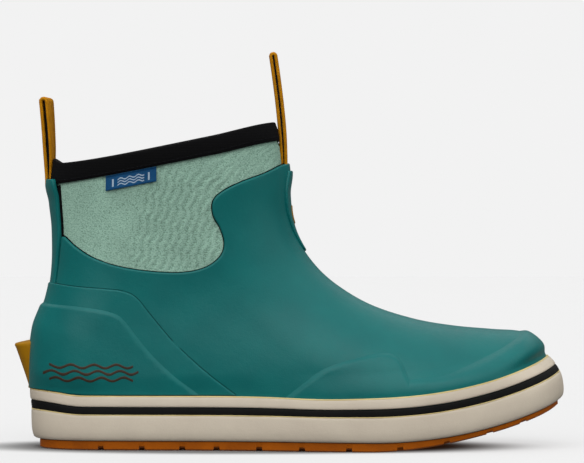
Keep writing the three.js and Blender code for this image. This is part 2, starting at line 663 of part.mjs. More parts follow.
// ---- Sole unit ----
function outsole() {
  const plate = solid(loft([soleLoop(-outsoleInset - 2.6, 0), soleLoop(-outsoleInset - 0.8, 1.1),
    soleLoop(-outsoleInset, outsoleThickness - layerGap)], false));
  let cut = plate;
  for (const place of channelCentres) for (const side of [-1, 1]) {
    const x = place * scaleX;
    const centre = bend(x, 0, 0);
    const bar = new THREE.BoxGeometry(channelWidth, soleWidth, channelDepth * 2);
    bar.translate(0, side * (soleWidth + channelWeb) / 2, 0);
    bar.rotateY(-Math.atan(2 * springRate * Math.max(0, x - springStart * scaleX)));
    bar.translate(centre.x, 0, centre.z);
    cut = cut.subtract(solid(bar));
  }
  return geometryOf(cut);
}
const bumper = (x, z) => toeBumper * toeShare(x) * clamp01((z - 15) / (foxingTop - 15)) ** 1.5;
function foxingRing(section) {
  const loops = section.map(([offset, z, isOuter]) => stations().map((s) => {
    const { point } = outlineAt(s);
    const shift = isOuter ? -bumper(point.x, z) : -toeBumper * toeShare(point.x);
    return solePoint(s, offset + shift, z);
  }));
  return loft(loops, true);
}
const inward = -foxingThickness;
const tuck = -foxingThickness - 4.6;
const foxingLower = () => foxingRing([
  [-3.4, outsoleThickness, true], [-1.5, outsoleThickness + 1.9, true], [-0.4, outsoleThickness + 5, true],
  [0, stripeBottom - 4.4, true], [0, stripeBottom, true], [inward, stripeBottom, false],
  [inward, wallBottom - layerGap, false], [tuck, wallBottom - layerGap, false],
  [tuck, outsoleThickness, false],
]);
const foxingStripe = () => foxingRing([
  [0, stripeBottom + layerGap, true], [0, stripeTop - layerGap, true],
  [inward, stripeTop - layerGap, false], [inward, stripeBottom + layerGap, false],
]);
const foxingUpper = () => foxingRing([
  [0, stripeTop, true], [-0.3, foxingTop - 0.8, true], [-0.8, foxingTop, true],
  [inward, foxingTop, false], [inward, stripeTop, false],
]);

const soleStack = (levels) => loft(levels.map(([inset, z]) => stations().map((s) => {
  const { point } = outlineAt(s);
  return bendInside(point, outlineAt(s).normal, inset, z);
})), false);
// Inner pieces keep clear of the toe's extra rubber and stay level at the heel.
function bendInside(point, normal, inset, z) {
  const offset = -inset - toeBumper * toeShare(point.x);
  return bend(point.x + normal.x * offset, point.y + normal.y * offset, z);
}
const midsoleInset = foxingThickness + 4.6 + fitGap;
function shankSlot(grow) {
  const size = [shankLength, shankWidth, shankThickness].map((side) => side + 2 * grow);
  const slot = new THREE.BoxGeometry(...size);
  const z = outsoleThickness + midsoleThickness - shankThickness / 2 - (grow ? 0 : layerGap / 2);
  return slot.translate(28 * scaleX + shankLength / 2 - 30, 0, z);
}
function midsole() {
  const low = outsoleThickness + layerGap - 0.1;
  const body = solid(soleStack([[midsoleInset, low], [midsoleInset, wallBottom - layerGap],
    [innerInset, wallBottom], [innerInset, outsoleThickness + midsoleThickness]]));
  return geometryOf(body.subtract(solid(shankSlot(layerGap))));
}
const boardTop = boardBottom + boardThickness;
const insoleBoard = () => soleStack([[innerInset, boardBottom], [innerInset, boardTop]]);
const footbedTop = footbedBottom + footbedThickness;
const rimTop = footbedTop + footbedRim;
const clothTop = footbedTop + topclothThickness;
const footbedFoam = () => soleStack([
  [innerInset + 3, footbedBottom], [innerInset + 0.6, footbedBottom + 2.4],
  [innerInset + 0.8, rimTop], [innerInset + 3, rimTop],
  [innerInset + 8, footbedTop + 0.6], [innerInset + 14, footbedTop],
]);
const footbedCloth = () => soleStack([
  [innerInset + 14.4, footbedTop + layerGap], [innerInset + 8.6, footbedTop + 0.9],
  [innerInset + 3.6, rimTop + 0.1], [innerInset + 4.4, rimTop + topclothThickness - 0.2],
  [innerInset + 9.2, clothTop + 0.9], [innerInset + 14.6, clothTop + layerGap],
]);

// ---- Assembly ----
const finish = {
  teal: { color: 0x1c6560, roughness: 0.55 }, knit: { color: 0x7fa48e, roughness: 0.95 },
  black: { color: 0x0d0d0f, roughness: 0.85 }, cream: { color: 0xb4a591, roughness: 0.6 },
  stripe: { color: 0x1a1a1b, roughness: 0.6 }, gum: { color: 0x824004, roughness: 0.6 },
  mustard: { color: 0xa06a06, roughness: 0.6 }, webbing: { color: 0x9a620a, roughness: 0.95 },
  label: { color: 0x1f5a86, roughness: 0.85 }, foam: { color: 0x2b2f31, roughness: 0.9 },
  board: { color: 0x8d7f68, roughness: 0.9 }, steel: { color: 0x9aa0a4, roughness: 0.4, metalness: 0.9 },
};
const boot = new THREE.Group();
function add(name, look, geometry) {
  const mesh = new THREE.Mesh(geometry, new THREE.MeshStandardMaterial({ metalness: 0, ...finish[look] }));
  mesh.name = name;
  boot.add(mesh);
}

add("outsole", "gum", outsole());
add("foxing_lower", "cream", foxingLower());
add("foxing_stripe", "stripe", foxingStripe());
add("foxing_upper", "cream", foxingUpper());
add("midsole", "foam", midsole());
add("shank", "steel", shankSlot(0));
add("insole_board", "board", insoleBoard());
add("footbed_foam", "foam", footbedFoam());
add("footbed_topcloth", "black", footbedCloth());
add("mesh_lining", "black", wall(upperRows, liningOuter, liningInner));
add("bootie_outer_half", "knit", bootieHalf("outer"));
add("bootie_inner_half", "knit", bootieHalf("inner"));
add("heel_stiffener", "board", heelStiffener());
add("toe_puff", "board", toePuff());
add("rubber_vamp", "teal", rubberVamp());
add("backstay", "teal", backstay());
add("heel_counter", "teal", heelCounter());
add("heel_ridge", "teal", heelRidge());
add("toe_cap", "teal", toeCap());
add("side_guard_outer", "teal", sideGuard("outer"));
add("side_guard_inner", "teal", sideGuard("inner"));
add("shin_patch", "teal", shinPatch());
add("shin_badge", "mustard", shinBadge());
add("kick_spur", "mustard", kickSpur());
add("collar_binding", "black", collarBinding());
add("front_loop_anchor", "webbing", loopAnchor(sideSteps, frontAnchorTop()));
add("rear_loop_anchor", "webbing", loopAnchor(0, rearAnchorTop()));
add("front_pull_loop", "webbing", frontPullLoop());
add("rear_pull_loop", "webbing", rearPullLoop());
add("side_label", "label", labelPlate());

export default boot;
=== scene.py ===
import math

import bmesh
import bpy
import numpy as np
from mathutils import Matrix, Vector


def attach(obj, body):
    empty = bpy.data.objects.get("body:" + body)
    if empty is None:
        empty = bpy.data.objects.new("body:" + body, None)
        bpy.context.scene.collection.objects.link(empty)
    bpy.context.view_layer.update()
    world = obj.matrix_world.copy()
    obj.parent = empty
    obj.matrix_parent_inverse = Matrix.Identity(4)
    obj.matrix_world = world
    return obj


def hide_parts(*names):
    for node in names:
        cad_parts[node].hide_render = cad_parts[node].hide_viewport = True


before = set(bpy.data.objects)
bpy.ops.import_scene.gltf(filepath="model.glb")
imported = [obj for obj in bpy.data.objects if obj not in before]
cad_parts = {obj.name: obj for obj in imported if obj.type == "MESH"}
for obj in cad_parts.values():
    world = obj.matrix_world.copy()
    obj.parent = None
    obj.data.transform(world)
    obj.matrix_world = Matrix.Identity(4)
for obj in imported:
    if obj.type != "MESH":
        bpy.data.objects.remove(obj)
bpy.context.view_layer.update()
print("stage: frame loaded")

# The boot's overall shape, as in the frame.
boot = {
    "foxingTop": 29.6, "foxingThickness": 2.4, "stripeBottom": 19.1, "toeBumper": 5.2, "heelSweep": 2.8,
    "springStart": 155.0, "springRate": 23.4 / (0.37 * 308) ** 2,
    "springLean": 0.5, "wallBottom": 8.0, "faceFoot": 30.3, "upperInset": 2.7, "collarDip": 4.0,
    "innerInset": 9.1, "lift": 1.2,
}
sideSteps, loopSteps, collarRow = 14, 28, 13

outlinePoints = np.array([
    (-37.5, 0), (-30.5, -20), (-12, -32.5), (20, -36.5), (60, -38), (100, -43), (140, -51), (175, -55.5),
    (207, -54), (236, -44.5), (259, -26), (270.5, 4), (265, 28), (248, 43), (222, 51.5), (190, 54),
    (160, 50.5), (125, 41), (90, 34.5), (55, 34), (20, 36), (-12, 32.5), (-30.5, 20)], float)
backProfile = np.array([
    (-34.6, 32.2), (-34.9, 41), (-34.8, 50), (-34.2, 58.5), (-33, 67), (-30.8, 75.5), (-28.4, 84),
    (-26.4, 93), (-25.3, 103), (-25.1, 113), (-25.5, 125), (-26.8, 138), (-27.3, 149.2), (-25.6, 160.8)])
frontProfile = np.array([
    (256.6, 51.5), (253, 57.6), (244, 63.2), (228, 65.8), (206, 67.9), (182, 72.1), (160, 79), (142, 88.6),
    (128, 100), (117.2, 114.5), (111.2, 131), (109.4, 155), (107, 172.9), (104.6, 182.1)])
footWidths = np.array([(-38, 34.5), (40, 35.5), (95, 40), (140, 47), (180, 51.5), (225, 50), (272, 47)])
shaftWidths = np.array([(30, 35), (70, 34), (100, 35.5), (130, 39.5), (160, 44), (190, 47)])

# Side-view outlines of the rubber pieces.
windowEdge = [
    (-17.8, 119), (-10, 112.6), (0, 106.9), (14, 102.3), (32, 99.4), (50, 98.8), (63, 101.5), (71.5, 107.6),
    (74.2, 115), (72, 123.6), (68, 131), (68, 139), (73.5, 144.4), (84, 149.7), (98, 155.2), (108, 160.6),
    (114, 163.8)]
backstayEdge = [(-22.2, 152), (-21.1, 137), (-20.2, 119), (-21.6, 104), (-23.4, 91)]
counterEdge = [
    (-42, 94.6), (-24, 92.6), (-8, 90.7), (8, 89.6), (18, 88.2), (25, 84.4), (33.6, 73.8), (46.4, 59),
    (64.4, 42.6), (83.4, 28.2)]
ridgeEdge = [
    (-44, 83.6), (-26, 81.6), (-8, 80.4), (6, 78.6), (14, 76.2), (19.4, 71.6), (32.3, 55.1),
    (47, 41.2), (64.4, 28)]
guardEdge = [
    (105, 10), (105, 28), (116, 36.6), (130, 46.6), (147, 52.1), (163, 55.3), (170.5, 53.6), (175, 48.4),
    (178, 41.2), (182, 33), (184, 28), (184, 10)]
toeCapEdge = [
    (166, 24), (169.5, 35.5), (176, 40.8), (184, 42), (196, 43.1), (208, 47.6), (221, 53.4), (233.5, 59),
    (241.7, 64.4), (246.5, 75)]


def clamp01(t):
    return np.clip(t, 0.0, 1.0)


def smooth(t):
    t = clamp01(t)
    return t * t * (3 - 2 * t)


def lerp(a, b, t):
    return a + (b - a) * t


def splineAt(points, t, closed=False):
    # Uniform Catmull-Rom through the points; t runs from 0 to 1.
    points = np.asarray(points, float)
    n = len(points)
    if closed:
        place = np.asarray(t, float) * n
        i = np.floor(place).astype(int)
        a, b, c, d = (points[(i + k) % n] for k in (-1, 0, 1, 2))
    else:
        padded = np.vstack([2 * points[0] - points[1], points, 2 * points[-1] - points[-2]])
        place = np.asarray(t, float) * (n - 1)
        i = np.clip(np.floor(place).astype(int), 0, n - 2)
        a, b, c, d = (padded[i + k] for k in (0, 1, 2, 3))
    w = (place - i)[..., None]
    square, cube = 2 * a - 5 * b + 4 * c - d, 3 * b - 3 * c + d - a
    return 0.5 * (2 * b + (c - a) * w + square * w ** 2 + cube * w ** 3)


def sideTable(start, end):
    t = np.linspace(start, end, 1601)
    points = splineAt(outlinePoints, t, True)
    run = np.concatenate([[0], np.cumsum(np.hypot(*np.diff(points, axis=0).T))])
    tangent = np.gradient(points, axis=0)
    tangent /= np.linalg.norm(tangent, axis=1)[:, None]
    return run / run[-1], np.column_stack([points, tangent[:, 1], -tangent[:, 0]])


toeSpan = np.linspace(0.4, 0.56, 4001)
toeAt = toeSpan[np.argmax(splineAt(outlinePoints, toeSpan, True)[:, 0])]
sideTables = [sideTable(0, toeAt), sideTable(toeAt, 1)]


def crowded(t):
    return t - 0.55 * np.sin(2 * math.pi * t) / (2 * math.pi)


def outlineAt(station):
    # x, y and the outward normal of the sole's outline; 0 is the heel, 14 the toe, outer side first.
    s = np.mod(station, loopSteps)
    outer = s <= sideSteps
    u = crowded(np.where(outer, s / sideSteps, s / sideSteps - 1))
    (runA, tableA), (runB, tableB) = sideTables
    return [np.where(outer, np.interp(u, runA, tableA[:, k]), np.interp(u, runB, tableB[:, k]))
            for k in range(4)]


def toeShare(x):
    return smooth((x - 222) / 42)


def sweepAt(x):
    return boot["heelSweep"] * smooth((-5 - x) / 30)


def bend(x, y, z):
    # Carries a point of the flat sole to its place on the sprung one.
    run = np.maximum(0, x - boot["springStart"])
    slope = np.arctan(2 * boot["springRate"] * run) * boot["springLean"]
    return np.stack(np.broadcast_arrays(x - z * np.sin(slope), y, boot["springRate"] * run ** 2
                                        + z * np.cos(slope)), -1)


def solePoint(station, offset, z, level=False):
    x, y, nx, ny = outlineAt(station)
    lift = 0 if level else sweepAt(x) * clamp01(z / boot["stripeBottom"] - 0.25)
    return bend(x + nx * offset, y + ny * offset, z + lift)


def wallFoot(station, z):
    x = outlineAt(station)[0]
    return solePoint(station, -boot["upperInset"] - boot["toeBumper"] * toeShare(x), z)


frontLine = splineAt(frontProfile, np.linspace(0, 1, 105))
backLine = splineAt(backProfile, np.linspace(0, 1, 105))


def distanceTo(line, a, b, closed=False):
    # Shortest distance from points (a, b) to a line of points in the same plane.
    start = line if closed else line[:-1]
    step = (np.roll(line, -1, axis=0) if closed else line[1:]) - start
    size = np.maximum((step ** 2).sum(1), 1e-12)
    out = np.empty(a.size)
    flatA, flatB = a.ravel(), b.ravel()
    for i in range(0, a.size, 12000):
        da = flatA[i:i + 12000, None] - start[None, :, 0]
        db = flatB[i:i + 12000, None] - start[None, :, 1]
        t = clamp01((da * step[:, 0] + db * step[:, 1]) / size)
        out[i:i + 12000] = np.sqrt(((da - t * step[:, 0]) ** 2 + (db - t * step[:, 1]) ** 2).min(1))
    return out.reshape(a.shape)


def insideDistance(outline, a, b):
    # Distance to a closed outline, positive inside it.
    outline = np.asarray(outline, float)
    distance = distanceTo(outline, a, b, True)
    ahead = np.roll(outline, -1, axis=0)
    inside = np.zeros(a.shape, bool)
    for (ax, az), (bx, bz) in zip(outline, ahead):
        if az == bz:
            continue
        crosses = ((az > b) != (bz > b)) & (a < (bx - ax) * (b - az) / (bz - az) + ax)
        inside ^= crosses
    return np.where(inside, distance, -distance)


def widthAlong(table, value):
    place = np.interp(value, table[:, 0], np.arange(len(table))) / (len(table) - 1)
    return splineAt(table, place)[..., 1]


def rounded(t):
    return (1 - (1 - clamp01(t)) ** 2.1) ** (1 / 2.1)


def halfWidth(x, z, frontGap=1e9, backGap=1e9):
    broad = lerp(widthAlong(footWidths, x), widthAlong(shaftWidths, z), smooth((z - 42) / 62))
    toFront = np.minimum(distanceTo(frontLine, x, z), frontGap)
    toBack = np.minimum(distanceTo(backLine, x, z), backGap)
    front = rounded(toFront / lerp(47, 68, smooth((z - 85) / 60)))
    back = rounded(toBack / lerp(36, 64, smooth((z - 60) / 90)))
    return broad * front * back


def centreAt(x):
    return 5 * smooth((x - 165) / 100)


heelFoot = wallFoot(np.array(0.0), boot["faceFoot"])
toeFoot = wallFoot(np.array(14.0), boot["faceFoot"])


def facePoint(station, row):
    # The rubber's outer face: row 0 clears the foxing, row 13 is the collar.
    station, row = np.broadcast_arrays(np.asarray(station, float), np.asarray(row, float))
    low = wallFoot(station, lerp(boot["faceFoot"], boot["wallBottom"], clamp01(-row)))
    base = wallFoot(station, boot["faceFoot"])
    up = np.clip(row, 0, collarRow)
    share = (base[..., 0] - heelFoot[0]) / (toeFoot[0] - heelFoot[0])
    sag = (base[..., 2] - lerp(heelFoot[2], toeFoot[2], share)) * (1 - up / collarRow) ** 3
    back, front = splineAt(backProfile, up / collarRow), splineAt(frontProfile, up / collarRow)
    x = lerp(back[..., 0], front[..., 0], share)
    hollow = clamp01(share) ** 0.6 * clamp01(1 - share) ** 1.4 / 0.295
    z = lerp(back[..., 1], front[..., 1], share) + sag - boot["collarDip"] * hollow * smooth((up - 11) / 2)
    side = np.where(np.mod(station, loopSteps) <= sideSteps, -1, 1)
    breadth = np.hypot(*np.moveaxis(front - back, -1, 0))
    half = halfWidth(x, z, breadth * np.maximum(0, 1 - share), breadth * np.maximum(0, share))
    y = lerp(base[..., 1], centreAt(x) + side * half, smooth(up / 1.3))
    return np.where((row <= 0)[..., None], low, np.stack([x, y, z], -1))


def unit(v):
    return v / np.maximum(np.linalg.norm(v, axis=-1, keepdims=True), 1e-12)


def faceFrame(station, row):
    # Points of the face and their outward normals.
    station, row = np.broadcast_arrays(np.asarray(station, float), np.asarray(row, float))
    _, _, nx, ny = outlineAt(station)
    level = np.stack([nx, ny, np.zeros_like(nx)], -1)
    step = 0.04
    wide = step + 0.2 * smooth((0.7 - np.abs(np.mod(station, loopSteps) - sideSteps)) / 0.3)
    a = facePoint(station + wide, row) - facePoint(station - wide, row)
    above, below = np.minimum(collarRow, row + step), np.maximum(0.01, row - step)
    b = facePoint(station, above) - facePoint(station, below)
    normal = unit(np.cross(a, b))
    normal = unit(lerp(level, normal, smooth(row / 1.6)[..., None]))
    return facePoint(station, row), np.where((row <= 0)[..., None], level, normal)


def stationList(count, start=0.0, end=28.0):
    # Stations spaced part-way between the crowded spacing and an even one.
    t = np.linspace(0, 1, 801)
    even = np.interp(np.linspace(0, 1, 801), crowded(t), t)
    full = np.concatenate([(k + 0.45 * t + 0.55 * even) * sideSteps for k in (-1, 0, 1)])
    key = np.concatenate([(k + t) * sideSteps for k in (-1, 0, 1)])
    ask = np.linspace(np.interp(start, full, key), np.interp(end, full, key), count)
    return np.interp(ask, key, full)


class Patch:
    # Part of the boot's face, as polygons over station and row, with the distance from the part's edge.
    def __init__(self, stations, rows, wrap=False):
        n = len(stations)
        self.params = np.stack(np.meshgrid(stations, rows), -1).reshape(-1, 2)
        spans = n if wrap else n - 1
        self.polys = [(r * n + s, r * n + (s + 1) % n, (r + 1) * n + (s + 1) % n, (r + 1) * n + s)
                      for r in range(len(rows) - 1) for s in range(spans)]

    def trim(self, distance, levels):
        # Cuts away what lies beyond the edge, and puts lines of vertices at the given distances from it.
        point = facePoint(self.params[:, 0], self.params[:, 1])
        self.field = distance(point, self.params[:, 1])
        far = self.field < -8
        self.polys = [p for p in self.polys if not all(far[list(p)])]
        for k, level in enumerate(levels):
            self.split(level, k == 0)
        return self

    def split(self, level, dropLow):
        value = self.field - level
        value[np.abs(value) < 0.03] = 0
        sign = np.sign(value).astype(int)
        params, field = self.params, list(self.field)
        extra, made, out = [], {}, []

        def crossing(a, b):
            key = (min(a, b), max(a, b))
            if key not in made:
                t = value[a] / (value[a] - value[b])
                ds = (params[b][0] - params[a][0] + sideSteps) % loopSteps - sideSteps
                extra.append((params[a][0] + ds * t, lerp(params[a][1], params[b][1], t)))
                field.append(level)
                made[key] = len(params) + len(extra) - 1
            return made[key]

        for poly in self.polys:
            signs = [sign[i] for i in poly]
            if min(signs) >= 0:
                out.append(poly)
                continue
            if max(signs) <= 0:
                if not dropLow:
                    out.append(poly)
                continue
            above, below = [], []
            for a, b in zip(poly, poly[1:] + poly[:1]):
                if sign[a] >= 0:
                    above.append(a)
                if sign[a] <= 0:
                    below.append(a)
                if sign[a] * sign[b] < 0:
                    point = crossing(a, b)
                    above.append(point)
                    below.append(point)
            if len(above) > 2:
                out.append(tuple(above))
            if len(below) > 2 and not dropLow:
                out.append(tuple(below))
        self.polys = out
        if extra:
            self.params = np.vstack([params, extra])
        self.field = np.array(field)

    def shell(self, outer, inner, pushed=None):
        # A closed skin between two distances from the face, pushed out further where asked.
        used = np.unique([i for p in self.polys for i in p])
        order = {int(v): i for i, v in enumerate(used)}
        polys = [tuple(order[i] for i in p) for p in self.polys]
        params, field = self.params[used], self.field[used]
        point, normal = faceFrame(params[:, 0], params[:, 1])
        n = len(point)
        far = outer(field, point) if callable(outer) else np.full(n, outer)
        if pushed:
            point = point + normal * pushed(point, params[:, 1])[:, None]
        verts = np.vstack([point + normal * far[:, None], point + normal * inner])
        edges = set()
        for p in polys:
            for a, b in zip(p, p[1:] + p[:1]):
                if (b, a) in edges:
                    edges.remove((b, a))
                else:
                    edges.add((a, b))
        faces = polys + [tuple(i + n for i in reversed(p)) for p in polys]
        faces += [(b, a, a + n, b + n) for a, b in edges]
        return verts, faces


def rolled(full, radius):
    # A cut edge with its outer corner rounded off.
    def height(field, point):
        t = clamp01(field / radius)
        return full - radius + radius * np.sqrt(clamp01(1 - (1 - t) ** 2)) + hand(point)
    return height


def swelling(start, full, breadth):
    # A moulded edge that rises softly out of the rubber below.
    def height(field, point):
        return start + (full - start) * smooth(field / breadth) + hand(point) * smooth(field / breadth)
    return height


def hand(point, size=0.11):
    # The slight unevenness of rubber laid by hand.
    x, y, z = point[..., 0], point[..., 1], point[..., 2]
    wave = np.sin(x / 11.3 + 0.7 * np.sin(z / 9.1)) * np.sin(z / 8.3 + y / 14 + 0.9 * np.sin(x / 17))
    return size * (wave + 0.5 * np.sin(x / 4.9 + z / 6.1) * np.sin(y / 7 - z / 5.3))


def rollLevels(radius):
    return [0, 0.08 * radius, 0.3 * radius, 0.62 * radius, radius]


def swellLevels(breadth):
    return [0, 0.16 * breadth, 0.33 * breadth, 0.5 * breadth, 0.68 * breadth, breadth]


def loft(loops, closeAcross=False, ring=True):
    # Joins loops of points; as a ring of sections, or as a stack with its ends closed.
    loops = np.asarray(loops)
    m, n = loops.shape[:2]
    faces = []
    for l in range(m if ring else m - 1):
        for s in range(n):
            nextLoop = (l + 1) % m
            faces.append((l * n + s, l * n + (s + 1) % n, nextLoop * n + (s + 1) % n, nextLoop * n + s))
    if closeAcross:
        faces += [tuple(range(n - 1, -1, -1)), tuple((m - 1) * n + s for s in range(n))]
    return loops.reshape(-1, 3), faces


def piece(name, shape, material, body="boot", replaces=(), angle=38, lift=None):
    verts, faces = shape
    raised = np.asarray(verts) + (0, 0, boot["lift"] if lift is None else lift)
    mesh = bpy.data.meshes.new(name)
    mesh.from_pydata((raised / 1000).tolist(), [], [tuple(int(i) for i in f) for f in faces])
    mesh.validate()
    mesh.polygons.foreach_set("use_smooth", [True] * len(mesh.polygons))
    mesh.set_sharp_from_angle(angle=math.radians(angle))
    mesh.materials.append(material)
    obj = bpy.data.objects.new(name, mesh)
    bpy.context.scene.collection.objects.link(obj)
    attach(obj, body)
    if replaces:
        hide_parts(*replaces)
    return obj


def tag(obj, name, values):
    # A number for every vertex, read by the piece's material.
    data = obj.data.attributes.new(name, "FLOAT", "POINT")
    data.data.foreach_set("value", np.asarray(values, float).ravel())


def joined(shapes):
    verts, faces, base = [], [], 0
    for v, f in shapes:
        verts.append(np.asarray(v))
        faces += [tuple(i + base for i in face) for face in f]
        base += len(v)
    return np.vstack(verts), faces


def linear(hexColour):
    values = [int(hexColour[i:i + 2], 16) / 255 for i in (1, 3, 5)]
    return (*[v / 12.92 if v <= 0.04045 else ((v + 0.055) / 1.055) ** 2.4 for v in values], 1.0)


def addNode(tree, kind, settings=None, links=None):
    # Adds a node; settings name its inputs, attributes or ramp stops, links name what feeds its inputs.
    node = tree.nodes.new("ShaderNode" + kind)
    for key, value in (settings or {}).items():
        if key == "stops":
            for i, (place, colour) in enumerate(value):
                stop = node.color_ramp.elements[i] if i < 2 else node.color_ramp.elements.new(place)
                stop.position, stop.color = place, colour
        elif isinstance(key, int) or key in node.inputs:
            node.inputs[key].default_value = value
        else:
            setattr(node, key, value)
    for key, source in (links or {}).items():
        tree.links.new(source, node.inputs[key])
    return node


def newMaterial(name, **shader):
    material = bpy.data.materials.new(name)
    material.use_nodes = True
    tree = material.node_tree
    surface = tree.nodes["Principled BSDF"]
    for key, value in shader.items():
        surface.inputs[key.replace("_", " ")].default_value = value
    place = addNode(tree, "TexCoord").outputs["Object"]
    return material, tree, surface, place


def perMetre(size):
    # The noise scale that makes blotches of about this size in mm.
    return 1000 / size


def bandScale(pitch):
    # The wave scale that puts its bands this many mm apart.
    return 100 * math.pi / pitch


def greys(low, high, a=0.0, b=1.0):
    return [(a, (low, low, low, 1)), (b, (high, high, high, 1))]


def rubberMaterial(name, base, dark, roughness, grain=0.06, bloom=None, shine=0.25):
    # Broad soft mottling, a dusty bloom and a very fine moulded grain.
    material, tree, surface, place = newMaterial(name, IOR=1.52, Specular_IOR_Level=shine)
    broad = addNode(tree, "TexNoise", {"Scale": perMetre(26.316), "Detail": 4.0, "Roughness": 0.55},
                    {"Vector": place})
    fine = addNode(tree, "TexNoise", {"Scale": perMetre(0.7692), "Detail": 3.0, "Roughness": 0.6},
                   {"Vector": place})
    specks = addNode(tree, "TexNoise", {"Scale": perMetre(2.381), "Detail": 6.0, "Roughness": 0.7},
                     {"Vector": place})
    colours = addNode(tree, "ValToRGB", {"stops": [(0.32, linear(dark)), (0.7, linear(base))]},
                      {"Fac": broad.outputs["Fac"]})
    dust = addNode(tree, "ValToRGB", {"stops": greys(0.0, 0.14, 0.55, 0.78)}, {"Fac": specks.outputs["Fac"]})
    paint = addNode(tree, "Mix", {"data_type": "RGBA", "B": linear(bloom or base)},
                    {"Factor": dust.outputs["Color"], "A": colours.outputs["Color"]})
    tree.links.new(paint.outputs["Result"], surface.inputs["Base Color"])
    sheen = addNode(tree, "MapRange", {"From Min": 0.3, "From Max": 0.7, "To Min": roughness - 0.05,
                                       "To Max": roughness + 0.08}, {"Value": specks.outputs["Fac"]})
    tree.links.new(sheen.outputs["Result"], surface.inputs["Roughness"])
    bump = addNode(tree, "Bump", {"Strength": 1.0, "Distance": grain / 1000}, {"Height": fine.outputs["Fac"]})
    wide = addNode(tree, "Bump", {"Strength": 0.6, "Distance": 0.18 / 1000},
                   {"Height": specks.outputs["Fac"], "Normal": bump.outputs["Normal"]})
    tree.links.new(wide.outputs["Normal"], surface.inputs["Normal"])
    return material


def paintThreads(tree, surface, place, height, stops, blotch, darkest, strength, depth):
    # Colours cloth by the height of its threads, shades it in soft blotches and raises the threads.
    broad = addNode(tree, "TexNoise", {"Scale": perMetre(blotch), "Detail": 3.0}, {"Vector": place})
    colours = addNode(tree, "ValToRGB", {"stops": stops}, {"Fac": height})
    shade = addNode(tree, "ValToRGB", {"stops": greys(darkest, 1.0, 0.3, 0.7)}, {"Fac": broad.outputs["Fac"]})
    paint = addNode(tree, "Mix", {"data_type": "RGBA", "blend_type": "MULTIPLY", "Factor": 1.0},
                    {"A": colours.outputs["Color"], "B": shade.outputs["Color"]})
    tree.links.new(paint.outputs["Result"], surface.inputs["Base Color"])
    bump = addNode(tree, "Bump", {"Strength": strength, "Distance": depth / 1000}, {"Height": height})
    tree.links.new(bump.outputs["Normal"], surface.inputs["Normal"])


def clothMaterial(name, base, dark, pitch, depth=0.12, fuzz=0.0, contrast=0.5):
    # Threads in rows, broken up by the yarn's own unevenness, with a soft fuzz at grazing angles.
    material, tree, surface, place = newMaterial(
        name, Roughness=0.85, IOR=1.46, Specular_IOR_Level=0.12, Sheen_Weight=fuzz, Sheen_Roughness=0.5,
        Sheen_Tint=linear(base))
    rows = addNode(tree, "TexWave", {"bands_direction": "Z", "Scale": bandScale(pitch), "Distortion": 1.2,
                                     "Detail": 2.0, "Detail Scale": 3.0}, {"Vector": place})
    yarn = addNode(tree, "TexNoise", {"Scale": perMetre(0.625), "Detail": 3.0}, {"Vector": place})
    mixed = addNode(tree, "Math", {"operation": "MULTIPLY"}, {0: rows.outputs["Fac"], 1: yarn.outputs["Fac"]})
    paintThreads(tree, surface, place, mixed.outputs["Value"],
                 [(0.06, linear(dark)), (contrast, linear(base))], 16.667, 0.82, 1.0, depth)
    return material


def knitMaterial(name, base, dark):
    # Faint courses and fine dark pits between the stitches, crowded together in the valleys of the ribs; the
    # valleys are also painted darker, as painted shade.
    material, tree, surface, place = newMaterial(name, Roughness=0.9, IOR=1.46, Specular_IOR_Level=0.08)
    rib = addNode(tree, "Attribute", {"attribute_name": "rib"}).outputs["Fac"]
    stretch = addNode(tree, "Mapping", {"Scale": (0.8, 0.8, 1.25), "Rotation": (0.0, 0.25, 0.0)},
                      {"Vector": place})
    pits = addNode(tree, "TexNoise", {"Scale": perMetre(0.6667), "Detail": 2.0, "Roughness": 0.65},
                   {"Vector": stretch.outputs["Vector"]})
    courses = addNode(tree, "TexWave", {"bands_direction": "Z", "Scale": bandScale(0.9), "Distortion": 3.0,
                                        "Detail": 2.0, "Detail Scale": 4.0}, {"Vector": place})
    # The rib attribute lowers the colour in the rib valleys: painted shade.
    raised = addNode(tree, "Math", {"operation": "MULTIPLY_ADD", 1: 0.11}, {0: rib, 2: pits.outputs["Fac"]})
    lined = addNode(tree, "Math", {"operation": "MULTIPLY_ADD", 1: 0.06}, {0: courses.outputs["Fac"],
                                                                         2: raised.outputs["Value"]})
    paintThreads(tree, surface, place, lined.outputs["Value"],
                 [(0.42, linear(dark)), (0.66, linear(base))], 14.286, 0.86, 0.8, 0.22)
    return material


def labelMaterial(name, base, dark, light):
    # Satin ground in fine rows, with the motif woven in a lighter yarn.
    material = clothMaterial(name, base, dark, 0.5, depth=0.06)
    tree = material.node_tree
    surface = tree.nodes["Principled BSDF"]
    ground = surface.inputs["Base Color"].links[0].from_socket
    motif = addNode(tree, "Attribute", {"attribute_name": "motif"}).outputs["Fac"]
    yarn = addNode(tree, "TexNoise", {"Scale": perMetre(0.6667), "Detail": 2.0})
    worn = addNode(tree, "Math", {"operation": "MULTIPLY"}, {0: motif, 1: yarn.outputs["Fac"]})
    show = addNode(tree, "ValToRGB", {"stops": greys(0.0, 0.85, 0.2, 0.5)}, {"Fac": worn.outputs["Value"]})
    paint = addNode(tree, "Mix", {"data_type": "RGBA", "B": linear(light)},
                    {"Factor": show.outputs["Color"], "A": ground})
    tree.links.new(paint.outputs["Result"], surface.inputs["Base Color"])
    return material


# Hand-laid vulcanised rubber sheet: satin, teal, with a faint dusty bloom.
tealRubber = rubberMaterial("vulcanised_rubber_teal", "#036563", "#035e5d", 0.4, bloom="#0e6c6a", shine=0.2)
# Painted shade: a dark teal material for the strip laid in the corner under the counter's edge, where the
# edge's shadow falls.
counterShadeRubber = rubberMaterial("painted_seam_shade", "#063a3a", "#042c2c", 0.6, bloom="#0a4645", shine=0.1)
